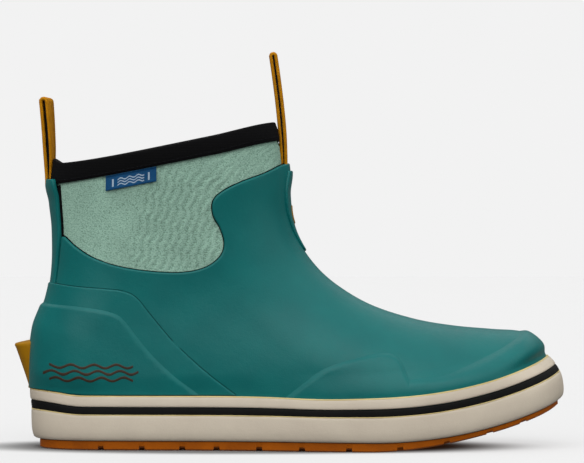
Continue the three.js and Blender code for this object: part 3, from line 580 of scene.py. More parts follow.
# Calendered foxing tape: warm cream, slightly yellower and glossier than the upper.
creamRubber = rubberMaterial("calendered_rubber_cream", "#cabfad", "#c2b6a5", 0.55, bloom="#d2c8b8")
# The same tape compounded with carbon black.
blackRubber = rubberMaterial("calendered_rubber_black", "#0d0d0d", "#080808", 0.7, bloom="#151515",
                             shine=0.12)
# Rubber cement squeezed out along the tape's edges, dried to a pale yellow bead.
cementBead = rubberMaterial("dried_latex_cement", "#d8c68c", "#c2ac70", 0.42, bloom="#e0d2a0")
# Crepe-like natural gum: translucent brown with darker specks.
gumRubber = rubberMaterial("moulded_gum_rubber", "#b05a04", "#934803", 0.6, grain=0.1, bloom="#b8660e",
                           shine=0.12)
# Moulded mustard rubber of the heel spur and the badge.
mustardRubber = rubberMaterial("moulded_rubber_mustard", "#a27203", "#8f6202", 0.55, bloom="#aa7a0a",
                               shine=0.12)
# Screened ink on the heel.
brownInk = rubberMaterial("screened_ink_brown", "#3b2a1c", "#2e2015", 0.55, bloom="#4a3626")
# Jersey-faced neoprene: pale sage knit in fine courses.
sageKnit = knitMaterial("jersey_knit_sage", "#9fc3b1", "#6b8c7c")
# Black knitted tape and lining mesh; the tape also serves as painted shade in the gaps at the window's edge
# and between the strap's plies.
blackTape = clothMaterial("knitted_tape_black", "#09090b", "#040405", 0.9, depth=0.14)
blackMesh = clothMaterial("knitted_mesh_black", "#17181b", "#08080a", 1.4, depth=0.3, fuzz=0.05)
# Nylon webbing, golden brown; the ribs are in the mesh, so the rows here are single yarns.
goldWebbing = clothMaterial("woven_nylon_webbing", "#de980f", "#875405", 0.6, depth=0.08, contrast=0.42)
# Woven satin label tape.
blueTape = labelMaterial("woven_satin_label", "#1f5a8a", "#123f66", "#b9cdd8")
# Closed-cell foam, pressed fibre board and rolled steel, all inside the boot.
greyFoam = rubberMaterial("closed_cell_foam", "#34393c", "#272b2d", 0.8, grain=0.3, bloom="#43494c")
fibreBoard = rubberMaterial("pressed_fibre_board", "#958770", "#7c6f59", 0.85, grain=0.2, bloom="#a39580")
rolledSteel, steelTree, steelSurface, steelPlace = newMaterial("rolled_spring_steel", Metallic=1.0)
steelLines = addNode(steelTree, "TexNoise", {"Scale": perMetre(3.3333), "Detail": 3.0},
                     {"Vector": steelPlace})
steelSheen = addNode(steelTree, "ValToRGB", {"stops": greys(0.28, 0.44)}, {"Fac": steelLines.outputs["Fac"]})
steelColour = addNode(steelTree, "ValToRGB", {"stops": [(0.3, linear("#8f969a")), (0.7, linear("#a9afb2"))]},
                      {"Fac": steelLines.outputs["Fac"]})
steelTree.links.new(steelSheen.outputs["Color"], steelSurface.inputs["Roughness"])
steelTree.links.new(steelColour.outputs["Color"], steelSurface.inputs["Base Color"])
print("stage: materials made")

# Rubber upper: edge rolls and the breadth of each soft swell.
upper = {"roll": 0.9, "counterRoll": 0.8, "ridgeBreadth": 3.2, "guardBreadth": 4.0, "capBreadth": 5.5,
         "sideSpans": 300, "rowStep": 0.1, "skin": -1.6, "stayHeight": 0.6, "counterHeight": 1.3,
         "ridgeHeight": 2.5, "guardHeight": 1.2}


def edgeLine(points, count):
    return splineAt(points, np.linspace(0, 1, count))


def windowOutline():
    edge = edgeLine(windowEdge, 161)
    return np.vstack([edge, (400, edge[-1][1]), (400, 400), (-400, 400), (-400, edge[0][1])])


def stayOutline(grow, bottom=None):
    edge = edgeLine(backstayEdge, 41)[::-1] + (grow, 0)
    low = edge[0][1] if bottom is None else bottom
    high = edge[-1][1] + 4
    return np.vstack([(edge[0][0], low), edge, (edge[-1][0], high), (-140, high), (-140, low)])


def behindAndBelow(points):
    edge = edgeLine(points, 121)
    return np.vstack([edge, (edge[-1][0], -50), (-140, -50), (-140, edge[0][1])])


def aheadAndBelow(points):
    edge = edgeLine(points, 121)
    return np.vstack([edge, (600, edge[-1][1]), (600, -50), (edge[0][0], -50)])


def sideField(outline):
    return lambda point, row: insideDistance(outline, point[:, 0], point[:, 2])


windowShape, stayGap = windowOutline(), stayOutline(0.75, 91)


def vampField(point, row):
    x, z = point[:, 0], point[:, 2]
    opening = -insideDistance(windowShape, x, z)
    behind = -insideDistance(stayGap, x, z)
    return np.minimum(np.minimum(opening, behind), (11.9 - row) * 15)


def rowsFrom(low, high, step):
    return np.linspace(low, high, max(2, int(round((high - low) / step)) + 1))


# How far the rubber stands out past its plain face, and half the lip's width.
push = {"lip": 2.0, "lipHalfWidth": 10.5, "heel": 1.7, "toe": 1.6, "stayEnd": 1.7}


def lipPush(point, row=None):
    # The lip of rubber that stands off the bootie in front, over the root of the front loop.
    x, y, z = np.moveaxis(point, -1, 0)
    across = np.exp(-(y / push["lipHalfWidth"]) ** 4)
    return push["lip"] * across * smooth((z - 143) / 14) * smooth((x - 80) / 15)


def heelPush(point, row=None):
    # The fuller back of the heel under the overlays.
    return push["heel"] * smooth((86 - point[..., 2]) / 20) * smooth((-18 - point[..., 0]) / 13)


def toePush(point, row):
    return push["toe"] * smooth((point[..., 0] - 225) / 25) * smooth(row / 0.9)


def vampPush(point, row):
    return lipPush(point) + toePush(point, row)


def rubberPiece(name, shape, node):
    piece(name, shape, tealRubber, replaces=[node])


allStations = stationList(upper["sideSpans"] + 1)[:-1]
vampRows = np.concatenate([[-1, -0.5], rowsFrom(0, 11.9, upper["rowStep"])])
vamp = Patch(allStations, vampRows, True).trim(vampField, rollLevels(upper["roll"]))
rubberPiece("rubber_vamp_skin", vamp.shell(rolled(0, upper["roll"]), upper["skin"], vampPush),
            "rubber_vamp")


def stayField(point, row):
    return np.minimum(insideDistance(stayOutline(0, 84), point[:, 0], point[:, 2]), (12.25 - row) * 15)


def stayPush(point, row):
    # The strip's free end stands off the binding.
    return push["stayEnd"] * smooth((row - 11) / 1.1)


stay = Patch(stationList(61, -3.6, 3.6), rowsFrom(5, 12.25, 0.08)).trim(stayField, rollLevels(upper["roll"]))
rubberPiece("backstay_strip", stay.shell(rolled(upper["stayHeight"], upper["roll"]), upper["skin"], stayPush),
            "backstay")
rear = stationList(150, -8.2, 8.2)
counter = Patch(rear, rowsFrom(0.0, 8.2, 0.08)).trim(sideField(behindAndBelow(counterEdge)),
                                                     rollLevels(upper["counterRoll"]))
rubberPiece("heel_counter_skin", counter.shell(rolled(upper["counterHeight"], upper["counterRoll"]), -0.2,
                                               heelPush), "heel_counter")


def counterShadeField(point, row):
    # The painted shade strip reaches just past the counter's edge, and well under it.
    edge = insideDistance(behindAndBelow(counterEdge), point[:, 0], point[:, 2])
    return np.minimum(edge + 0.38, 3.5 - edge)


# Painted shadow: a thin dark strip along the outside of the counter's lower edge.
counterShadeStrip = Patch(rear, rowsFrom(0.0, 8.4, 0.08)).trim(counterShadeField, [0, 0.3])
piece("heel_counter_painted_shade", counterShadeStrip.shell(0.1, -0.2), counterShadeRubber)
ridge = Patch(rear, rowsFrom(0.0, 7.4, 0.08)).trim(sideField(behindAndBelow(ridgeEdge)),
                                                   swellLevels(upper["ridgeBreadth"]))
rubberPiece("heel_ridge_swell", ridge.shell(swelling(1.0, upper["ridgeHeight"], upper["ridgeBreadth"]), 0.7,
                                            heelPush), "heel_ridge")


def capRise(field, point):
    # Level with the side guard where the two meet, and higher towards the toe.
    full = 1.45 + 0.4 * smooth((point[:, 0] - 186) / 25)
    return -0.3 + full * smooth(field / upper["capBreadth"]) + hand(point) * smooth(field / 3)


cap = Patch(stationList(170, 7.6, 20.4), rowsFrom(-0.1, 4.6, 0.06)).trim(
    sideField(aheadAndBelow(toeCapEdge)), swellLevels(upper["capBreadth"]))
rubberPiece("toe_cap_swell", cap.shell(capRise, -0.8, toePush), "toe_cap")
guardShape = np.vstack([guardEdge[0], edgeLine(guardEdge[1:-1], 121), guardEdge[-1]])
for name, low, high in (("outer", 5.6, 12.4), ("inner", 15.6, 22.6)):
    guard = Patch(stationList(110, low, high), rowsFrom(-0.1, 5.4, 0.06)).trim(
        sideField(guardShape), swellLevels(upper["guardBreadth"]))
    rubberPiece(f"side_guard_{name}_swell",
                guard.shell(swelling(-0.3, upper["guardHeight"], upper["guardBreadth"]), -0.8),
                f"side_guard_{name}")


# Shield-shaped patch down the shin, and its plain domed badge.
shin = {"tip": 110.5, "top": 156.6, "halfWidth": 12.5, "badgeHeight": 131.6, "badgeSize": (3.8, 5.6)}


def shieldOutline():
    t = np.linspace(0, 1, 41)
    crown = np.sin(math.pi * np.minimum(0.5, 0.22 + 0.5 * (1 - t)))
    width = shin["halfWidth"] * crown * np.sqrt(clamp01(t * 1.3))
    z = lerp(shin["tip"], shin["top"], t)
    return np.vstack([np.column_stack([width, z]), np.column_stack([-width[::-1], z[::-1]])[:-1]])


shieldShape = shieldOutline()
turn = np.linspace(0, 2 * math.pi, 48, endpoint=False)
badgeShape = np.column_stack([shin["badgeSize"][0] * np.cos(turn),
                              shin["badgeHeight"] + shin["badgeSize"][1] * np.sin(turn)])
ahead = stationList(110, 10.4, 17.6)
shield = Patch(ahead, rowsFrom(7.6, 11.9, 0.05)).trim(
    lambda point, row: np.minimum(insideDistance(shieldShape, point[:, 1], point[:, 2]), (11.85 - row) * 15),
    rollLevels(0.8))
rubberPiece("shin_patch_skin", shield.shell(rolled(1.3, 0.8), -0.2, lipPush), "shin_patch")


def badgeRise(field, point):
    rim = np.exp(-((field - 0.8) / 0.4) ** 2)
    return 1.35 + 0.4 * smooth(field / 0.5) - 0.16 * smooth((field - 1.1) / 0.5) + 0.08 * rim


badge = Patch(stationList(90, 12.2, 15.8), rowsFrom(8.9, 11.2, 0.025)).trim(
    lambda point, row: insideDistance(badgeShape, point[:, 1], point[:, 2]),
    [0, 0.15, 0.3, 0.5, 0.9, 1.3, 1.8])
piece("shin_badge_oval", badge.shell(badgeRise, 1.1, lipPush), mustardRubber,
      replaces=["shin_badge"])
print("stage: rubber upper built")

# Three plain waves screened on the heel.
mark = {"left": -26.0, "right": 26.0, "middle": 42.8, "pitch": 3.5, "halfThickness": 0.65, "swell": 1.0,
        "wavelength": 12.5, "shift": 2.1, "inset": 3.0, "height": 2.52, "ink": 0.16}


def markField(point, row):
    x, z = point[:, 0], point[:, 2]
    best = np.full(x.shape, -9.0)
    for k in (-1, 0, 1):
        inset = mark["inset"] * abs(k)
        line = mark["middle"] + k * mark["pitch"] + mark["swell"] * np.sin(
            2 * math.pi * (x + mark["shift"] * k) / mark["wavelength"])
        body = mark["halfThickness"] - np.abs(z - line) * 0.9
        ends = np.minimum(x - mark["left"] - inset, mark["right"] - inset - x)
        best = np.maximum(best, np.minimum(body, ends * 0.5))
    return best


waves = Patch(stationList(190, 1.2, 6.4), rowsFrom(0.2, 3.4, 0.018)).trim(markField, [0, 0.25])
inked = waves.shell(lambda field, point: mark["height"] + mark["ink"] * smooth(field / 0.25) + hand(point),
                    2.2, heelPush)
piece("heel_mark_waves", inked, brownInk)

# Foam bootie with its knitted face.
knit = {"outer": -1.9, "inner": -4.9, "ribPitch": 4.6, "relief": 0.7, "seam": 0.02}


def ribShare(point):
    # Slanted wavy ribs at the front of each window, fading out towards the heel: 0 in a valley, 1 on a ridge.
    x, z = point[..., 0], point[..., 2]
    swing = smooth((x - 48) / 36)
    lean = 0.25 * (z - 120) + 0.0115 * swing * np.maximum(0, z - 126) ** 2
    w = x - lean + 0.75 * np.sin(z / 2.1 + x / 9) + 0.35 * np.sin(z / 1.05 + x / 3)
    ridge = (0.5 + 0.5 * np.cos(2 * math.pi * w / knit["ribPitch"])) ** 0.8
    show = smooth((x - lean - 18) / 9) * (1 - smooth((z - 170) / 5))
    show = show * smooth((insideDistance(windowShape, x, z) + 0.5) / 2.5) * (1 - 0.5 * smooth((z - 148) / 14))
    return lerp(0.7, ridge, show), show


def ribRise(field, point):
    ridge, show = ribShare(point)
    x, y, z = np.moveaxis(point, -1, 0)
    seam = np.exp(-((z - 155.1 - 0.187 * (x - 22.4)) / 1.6) ** 4) * smooth((x - 3) / 3) * smooth((41 - x) / 3)
    seam = seam * (y < 0)  # the label's seam pulls the knit in
    return knit["outer"] + knit["relief"] * (ridge - 0.55) * show * (1 - seam) - 0.6 * seam


def dented(shape):
    # The collar's front, pressed back behind the pull loop and a little higher than the rest.
    verts, faces = shape
    x, y, z = verts.T
    back = 1.5 * np.exp(-(y / 9.4) ** 8) * smooth((x - 60) / 30) * smooth((z - 168) / 5)
    up = 1.5 * smooth((x - 66) / 36) * smooth((z - 152) / 20)
    return np.column_stack([x - back, y, z + up]), faces


bootieRows = np.concatenate([[-1, -0.5], rowsFrom(0, 7.4, 0.2), rowsFrom(7.45, 12.3, 0.05),
                             rowsFrom(12.4, 13, 0.15)])
for name, low, high in (("outer", 0, 14), ("inner", 14, 28)):
    span = stationList(180, low + knit["seam"], high - knit["seam"])
    half = Patch(span, bootieRows)
    half.field = np.zeros(len(half.params))
    shape = dented(half.shell(ribRise, knit["inner"]))
    obj = piece(f"bootie_{name}_knit", shape, sageKnit, replaces=[f"bootie_{name}_half"],
                angle=60)
    tag(obj, "rib", ribShare(shape[0])[0])
liningPatch = Patch(stationList(200)[:-1], np.concatenate([[-1], rowsFrom(0, 13, 0.25)]), True)
liningPatch.field = np.zeros(len(liningPatch.params))
piece("mesh_lining_skin", dented(liningPatch.shell(-5.2, -6.0)), blackMesh,
      replaces=["mesh_lining"])


# Tape folded over the collar.
binding = {"outer": -0.45, "inner": -7.45, "rise": 1.6, "puff": 0.3, "stations": 320, "stitchPitch": 2.6,
           "stitchLength": 1.9}


def bindingSection():
    # (row, distance from the face, lift) round the tape's section.
    section = [(12.02, -1.35, 0), (11.985, -0.95, 0), (11.99, -0.6, 0)]
    for t in np.linspace(0.06, 0.94, 10):
        section.append((12 + t, binding["outer"] + binding["puff"] * math.sin(math.pi * t) ** 0.7, 0.2 * t))
    middle, half = (binding["outer"] + binding["inner"]) / 2, (binding["outer"] - binding["inner"]) / 2
    for turnAt in np.linspace(0.04, 0.96, 15) * math.pi:
        section.append((13, middle + half * math.copysign(abs(math.cos(turnAt)) ** 0.75, math.cos(turnAt)),
                        0.2 + (binding["rise"] - 0.2) * math.sin(turnAt) ** 0.8))
    for t in np.linspace(0.94, 0.06, 10):
        section.append((12 + t, binding["inner"] - binding["puff"] * math.sin(math.pi * t) ** 0.7, 0.2 * t))
    section += [(11.99, -7.3, 0), (11.985, -6.95, 0), (12.02, -6.55, 0), (13, -6.5, 0.6), (13, -1.4, 0.6)]
    return section


ringStations = stationList(binding["stations"] + 1)[:-1]
tape = []
for row, distance, lift in bindingSection():
    point, normal = faceFrame(ringStations, np.full(len(ringStations), float(row)))
    placed = point + normal * distance
    placed[:, 2] += lift + 2.0 * smooth((-18.5 - placed[:, 0]) / 6) * (row - 12) ** 2 * (row > 12)
    tape.append(placed)
piece("collar_binding_tape", dented(loft(tape)), blackTape,
      replaces=["collar_binding"], angle=60)


def bead(a, b, out, radius, steps=6):
    # A short stitch of thread: a rounded bar from a to b, bedded at its ends.
    a, b, out = (np.asarray(v, float) for v in (a, b, out))
    along = unit(b - a)
    across = unit(np.cross(along, out))
    loops = []
    for t in (0.0, 0.18, 0.5, 0.82, 1.0):
        size = radius * (0.35 if t in (0.0, 1.0) else 1)
        centre = lerp(a, b, t) + out * radius * (0.9 * math.sin(math.pi * t) - 0.25)
        loops.append([centre + size * (math.cos(w) * out + math.sin(w) * across)
                      for w in np.linspace(0, 2 * math.pi, steps, endpoint=False)])
    return loft(loops, closeAcross=True, ring=False)


def stitchRow(path, normal, length, pitch, radius):
    run = np.concatenate([[0], np.cumsum(np.linalg.norm(np.diff(path, axis=0), axis=1))])
    shapes = []
    for start in np.arange(0.3, run[-1] - length, pitch):
        ends = [np.array([np.interp(s, run, path[:, k]) for k in range(3)]) for s in (start, start + length)]
        out = unit(np.array([np.interp(start, run, normal[:, k]) for k in range(3)]))
        shapes.append(bead(*ends, out, radius))
    return joined(shapes)


seamStations = stationList(500, 0.3, 27.7)
seamPoint, seamNormal = faceFrame(seamStations, np.full(500, 12.16))
blackThread = clothMaterial("spun_thread_black", "#1d1d21", "#0c0c0e", 0.4, depth=0.05)
seamPoint = seamPoint + seamNormal * (binding["outer"] + 0.22)
stitches = stitchRow(seamPoint, seamNormal, binding["stitchLength"], binding["stitchPitch"], 0.2)
piece("binding_stitches", dented(stitches), blackThread)


# Painted shade: a black strip under the window's edge and in the backstay gap, seen as a dark line where the
# rubber stops, in place of the shadow there.
edgeShade = {"outer": -1.3, "inner": -1.86, "show": 0.45, "under": 3.5}


def edgeShadeField(point, row):
    x, z = point[:, 0], point[:, 2]
    bare = np.minimum(insideDistance(windowShape, x, z), -insideDistance(stayGap, x, z))
    gap = insideDistance(stayOutline(0.85, 92), x, z)
    strip = np.minimum(edgeShade["show"] - bare, bare + edgeShade["under"])
    return np.minimum(np.maximum(strip, gap), (11.9 - row) * 15)


edgeShadePatch = Patch(allStations, rowsFrom(5.5, 11.9, 0.1), True).trim(edgeShadeField, [0, 0.2])
edgeShadeShape = edgeShadePatch.shell(lambda field, point: edgeShade["outer"] - 0.3 + 0.3 * smooth(field / 0.2),
                           edgeShade["inner"], vampPush)
piece("window_edge_painted_shade", edgeShadeShape, blackTape, angle=60)
print("stage: bootie and collar built")

# Two cream tapes round the sole's edge, with a dark stripe let in between.
foxing = {"stations": 420}


def foxingRing(face, hidden=(), waver=0.0):
    # A ring round the sole; each section is its outer face, then the side that is cemented down.
    stations = stationList(foxing["stations"] + 1)[:-1]
    x, y, _, _ = outlineAt(stations)
    loops = []
    section = [(*spot, True) for spot in face] + [(*spot, False) for spot in hidden]
    for offset, z, outer in section:
        rise = clamp01((z - 15) / (boot["foxingTop"] - 15)) ** 1.5
        shift = -boot["toeBumper"] * toeShare(x) * (rise if outer else 1)
        spot = np.stack([x, y, np.full(x.shape, float(z))], -1)
        flare = 1.2 * clamp01((z - 20) / 9) * smooth((-22 - x) / 12) if outer else 0
        dip = 1.2 * np.exp(-((x - 130) / 28) ** 2) * (z / boot["foxingTop"]) ** 2
        uneven = hand(spot, waver) if outer else 0
        loops.append(solePoint(stations, offset + shift + flare + uneven, z - dip))
    return loft(loops)


inward = -boot["foxingThickness"]
tapes = {
    "lower": ([(-3.6, 4.2), (-2.3, 4.4), (-1.5, 5.0), (-0.95, 6.2), (-0.55, 7.7), (-0.25, 9.4), (-0.06, 11.8),
               (0.0, 14.6), (0.0, 17.2), (-0.06, 18.1), (-0.2, 18.5), (-0.5, 18.68)],
              [(inward, 18.68), (inward, 7.7), (-7.0, 7.7), (-7.0, 4.2)], 0.1, creamRubber, "cream_rubber"),
    "stripe": ([(-0.75, 19.02), (-0.42, 19.1), (-0.22, 19.35), (-0.12, 19.9), (-0.08, 21.1), (-0.12, 22.2),
                (-0.22, 22.75), (-0.42, 23.02), (-0.75, 23.1)],
               [(inward, 23.1), (inward, 19.02)], 0.0, blackRubber, "stripe_rubber"),
    "upper": ([(-0.5, 23.42), (-0.18, 23.6), (0.0, 24.05), (0.02, 25.2), (-0.06, 26.6), (-0.2, 28.1),
               (-0.42, 29.0), (-0.75, 29.45), (-1.2, 29.6)],
              [(inward, 29.6), (inward, 23.42)], 0.06, creamRubber, "cream_rubber"),
}
for name, (face, hidden, waver, rubber, slot) in tapes.items():
    piece(f"foxing_{name}_tape", foxingRing(face, hidden, waver), rubber,
          replaces=[f"foxing_{name}"], angle=50)
beads = {
    "low": [(-0.3, 18.55), (-0.02, 18.7), (-0.02, 18.95), (-0.3, 19.1), (-0.9, 19.05), (-0.9, 18.65)],
    "high": [(-0.38, 29.05), (-0.3, 29.2), (-0.45, 29.62), (-0.9, 29.8), (-1.4, 29.75), (-1.4, 29.3),
             (-0.8, 29.1)],
}
for name, face in beads.items():
    piece(f"cement_bead_{name}", foxingRing(face), cementBead)

# Tread plate: cross channels at the given places, with zigzag sipes between them.
tread = {"inset": 3.2, "channelDepth": 2.4, "channelWidth": 3.6, "web": 9.0, "top": 5.1, "sipes": 3,
         "centres": [4.3, 27.5, 50.2, 69.6, 93.6, 117.6, 143.8, 172.2, 198.3, 222.7, 242.2], "taper": 2.1,
         "sipeWidth": 0.7, "sipeDepth": 1.3, "zigzag": 1.6, "zigzagLength": 9.0, "columns": 60}


def outsoleShape():
    # Slices along the foot; each is a loop round the plate, notched at the channels and sipes.
    centres = tread["centres"]
    marks = []
    for i, c in enumerate(centres):
        w = tread["channelWidth"] / 2
        marks += [(c - w - 0.25, 0), (c - w, 0.25), (c - w + 0.35, 1), (c, 1), (c + w - 0.35, 1),
                  (c + w, 0.25), (c + w + 0.25, 0)]
        gap = (centres[i + 1] if i + 1 < len(centres) else c + 22) - c - tread["channelWidth"]
        for k in range(tread["sipes"]):
            middle = c + w + gap * (k + 1) / (tread["sipes"] + 1)
            half = tread["sipeWidth"] / 2
            share = tread["sipeDepth"] / tread["channelDepth"]
            marks += [(middle - half, 0), (middle - half * 0.5, share), (middle + half * 0.5, share),
                      (middle + half, 0)]
    sides = []
    for inset in (tread["inset"] + 2.6, tread["inset"] + 0.8, tread["inset"]):
        edge = []
        for low, high in ((0.0, 14.0), (28.0, 14.0)):
            s = np.linspace(low, high, 900)
            x, y, nx, ny = outlineAt(s)
            edge.append((x - nx * inset, y - ny * inset))
        sides.append(edge)
    first, last = sides[0][0][0][0] + 0.05, sides[0][0][0][-1] - 0.05
    marks += [(x, 0) for x in np.arange(first, last, 1.5)
              if all(abs(x - m[0]) > 0.8 for m in marks)]
    marks = sorted([m for m in marks if first < m[0] < last] + [(first, 0), (last, 0)])
    loops = []
    for x, notch in marks:
        near = min(abs(x - first), abs(x - last))
        rim = []
        for edge in sides:
            (xa, ya), (xb, yb) = edge
            rim.append((float(np.interp(x, xa, ya)), float(np.interp(x, xb, yb))))
        share = np.linspace(0, 1, tread["columns"])
        yLow = lerp(rim[0][0], rim[0][1], share)
        fade = smooth(np.minimum(share, 1 - share) * (rim[0][1] - rim[0][0]) / 7) * smooth(near / 8)
        tooth = np.abs(np.mod(yLow / tread["zigzagLength"], 1) * 2 - 1) * 2 - 1
        channel = min(abs(x - c) for c in centres)
        calm = smooth((channel - 2.6) / 3)
        if channel < 2.6:
            rimDistance = np.minimum(share, 1 - share) * (rim[0][1] - rim[0][0])
            cut = smooth((np.abs(yLow - centreAt(x)) - tread["web"] / 2 + 1) / 2)
            cut = cut * (1 - (0.6 + 0.4 * float(smooth((x - 145) / 20))) * smooth((rimDistance - 3) / 2))
        else:
            cut = smooth((np.minimum(share, 1 - share) * (rim[0][1] - rim[0][0]) - 3) / 2)
        worn = tread["taper"] * float(smooth((x - 150) / 75))
        depth = tread["channelDepth"] - 0.45 * worn
        bottom = bend(x + tread["zigzag"] * tooth * fade * calm, yLow, worn + notch * depth * cut)
        low = worn + (max(0.8, notch * depth + 0.05) if channel < 2.6 else 0.8)
        ring = [bottom]
        ring.append(bend(np.array([x, x]), np.array([rim[1][1], rim[2][1]]), np.array([low, tread["top"]])))
        ring.append(bend(np.full(8, x), np.linspace(rim[2][1], rim[2][0], 10)[1:-1],
                         np.full(8, tread["top"])))
        ring.append(bend(np.array([x, x]), np.array([rim[2][0], rim[1][0]]), np.array([tread["top"], low])))
        loops.append(np.vstack(ring))
    return loft(loops, closeAcross=True, ring=False)


piece("outsole_tread", outsoleShape(), gumRubber, replaces=["outsole"], angle=32, lift=0)
print("stage: sole unit built")

# Cupped foam bed under a cloth.
footbed = {"arch": 3.2, "heelDish": 0.5}


def stackLoop(stations, inset, z):
    x, y, nx, ny = outlineAt(stations)
    offset = -inset - boot["toeBumper"] * toeShare(x)
    return bend(x + nx * offset, y + ny * offset, np.full(x.shape, float(z)))


def footbedShape(levels, columns=16):
    # Loops round the bed, closed across its width with a gently shaped top and a flat underside.
    n = 160
    stations = stationList(n + 1)[:-1]
    half = n // 2
    loops = [stackLoop(stations, inset, z) for inset, z in levels]
    verts, faces = loft(loops, ring=False)
    verts = verts.copy()
    m = len(levels)
    shapes = [(verts, faces)]
    for end, flip in ((0, True), (m - 1, False)):
        loop = loops[end]
        grid = []
        for s in range(half + 1):
            a, b = loop[s], loop[(n - s) % n]
            share = np.linspace(0, 1, columns)[:, None]
            line = lerp(a, b, share)
            if not flip:
                swell = np.sin(math.pi * share[:, 0])
                x = line[:, 0]
                arch = footbed["arch"] * smooth(share[:, 0] * 1.2) * swell * np.exp(-((x - 80) / 38) ** 2)
                line[:, 2] += arch - footbed["heelDish"] * swell * np.exp(-((x - 5) / 25) ** 2)
            grid.append(line)
        grid = np.array(grid)
        quads = []
        for i in range(half):
            for j in range(columns - 1):
                a = i * columns + j
                quad = (a, a + 1, a + columns + 1, a + columns)
                quads.append(quad[::-1] if not flip else quad)
        shapes.append((grid.reshape(-1, 3), [q[::-1] for q in quads]))
    return joined(shapes)


def welded(obj, distance=0.00001):
    work = bmesh.new()
    work.from_mesh(obj.data)
    bmesh.ops.remove_doubles(work, verts=work.verts, dist=distance)
    bmesh.ops.recalc_face_normals(work, faces=work.faces)
    work.to_mesh(obj.data)
    work.free()
    return obj


inset = boot["innerInset"]
foamLevels = [(inset + 3, 15.8), (inset + 1.4, 16.3), (inset + 0.7, 17.6), (inset + 0.6, 20),
              (inset + 0.7, 23.6), (inset + 1.2, 24.8), (inset + 2.2, 25), (inset + 3.4, 24.4),
              (inset + 5.6, 22.4),
              (inset + 8, 20.8), (inset + 11, 20.15), (inset + 14, 20)]
clothLevels = [(inset + 14.4, 20.3), (inset + 11.2, 20.45), (inset + 8.6, 20.95), (inset + 5.8, 22.8),
               (inset + 3.8, 24.8), (inset + 3.1, 25.25), (inset + 3.2, 25.7), (inset + 4.0, 25.9),
               (inset + 4.8, 25.5), (inset + 6.4, 23.7), (inset + 9.2, 21.8), (inset + 12, 21.2),
               (inset + 14.6, 21.1)]
foam = welded(piece("footbed_foam_bed", footbedShape(foamLevels), greyFoam, body="footbed",
                    replaces=["footbed_foam"], angle=50))
welded(piece("footbed_topcloth_skin", footbedShape(clothLevels), blackMesh, body="footbed",
             replaces=["footbed_topcloth"], angle=50))
print("stage: footbed built")

# Webbing loops, front and rear.
loops = {"width": 17.0, "thickness": 1.9, "ribPitch": 1.25, "ribHeight": 0.14, "cordPitch": 1.7,
         "cordHeight": 0.05, "step": 0.3}
frontSpine = np.array([(107.3, 157.0), (107.5, 181.5), (101.3, 222.2)])
rearSpine = np.array([(-26.9, 149.0), (-26.8, 171.0), (-29.0, 196.4)])
# The middle line of each loop, the gap between its plies at the top, and its twist in degrees.
straps = {"front": (frontSpine, 0.6, 0.0), "rear": (rearSpine, 1.1, -8.0)}


def spineLine(spine, t):
    # Points of the middle line and its directions.
    p = (1 - t) ** 2 * spine[0] + 2 * t * (1 - t) * spine[1] + t ** 2 * spine[2]
    return p, unit(2 * (1 - t) * (spine[1] - spine[0]) + 2 * t * (spine[2] - spine[1]))


def hairpin(spine, gap):
    # The middle of the strap's thickness: up one side of the spine, over its end and down the other.
    t = np.linspace(0, 1, 120)[:, None]
    p, d = spineLine(spine, t)
    out = np.column_stack([d[:, 1], -d[:, 0]])
    reach = (gap / 2 * smooth(t * 2) + 0.1) + loops["thickness"] / 2
    turnAt = np.linspace(0, math.pi, 30)[1:-1, None]
    radius = reach[-1]
    tip = p[-1] + radius * (np.cos(turnAt) * out[-1] + np.sin(turnAt) * d[-1])
    path = np.vstack([p + out * reach, tip, (p - out * reach)[::-1]])
    run = np.concatenate([[0], np.cumsum(np.hypot(*np.diff(path, axis=0).T))])
    ask = np.arange(0, run[-1], loops["step"])
    return np.column_stack([np.interp(ask, run, path[:, 0]), np.interp(ask, run, path[:, 1])]), ask


def strapShape(spine, gap, twist):
    path, run = hairpin(spine, gap)
    tangent = unit(np.gradient(path, axis=0))
    across = np.column_stack([tangent[:, 1], -tangent[:, 0]])
    side = np.concatenate([np.linspace(-1, 1, 33), np.linspace(1, -1, 33)])
    face = np.concatenate([np.ones(33), -np.ones(33)])
    y = side * loops["width"] / 2
    edge = np.sqrt(clamp01(1 - clamp01((np.abs(side) - 1) / 0.09 + 1) ** 2))
    rings = []
    for k in range(len(path)):
        rib = np.cos(2 * math.pi * (run[k] + np.abs(y) * 0.55) / loops["ribPitch"])
        cord = loops["cordHeight"] * np.cos(2 * math.pi * y / loops["cordPitch"])
        depth = face * (edge * loops["thickness"] / 2 + (edge * loops["ribHeight"] * rib + cord * edge))
        nib = 1 + 0.012 * math.cos(2 * math.pi * run[k] / loops["ribPitch"])
        rings.append(np.column_stack([path[k, 0] + across[k, 0] * depth, y * nib,
                                      path[k, 1] + across[k, 1] * depth]))
    rings = np.array(rings)
    share = clamp01((rings[..., 2] - spine[0][1]) / (spine[2][1] - spine[0][1]))
    angle = math.radians(twist) * share ** 0.8
    cx = np.interp(rings[..., 2], spine[:, 1], spine[:, 0])
    dx, dy = rings[..., 0] - cx, rings[..., 1]
    rings[..., 0] = cx + dx * np.cos(angle) - dy * np.sin(angle)
    rings[..., 1] = dx * np.sin(angle) + dy * np.cos(angle)
    return loft(rings, closeAcross=True, ring=False)


for name, strapSize in straps.items():
    strap = piece(f"{name}_pull_strap", strapShape(*strapSize), goldWebbing, body=f"{name}_loop",
                  replaces=[f"{name}_pull_loop"], angle=70)
    welded(strap, 0.000002)


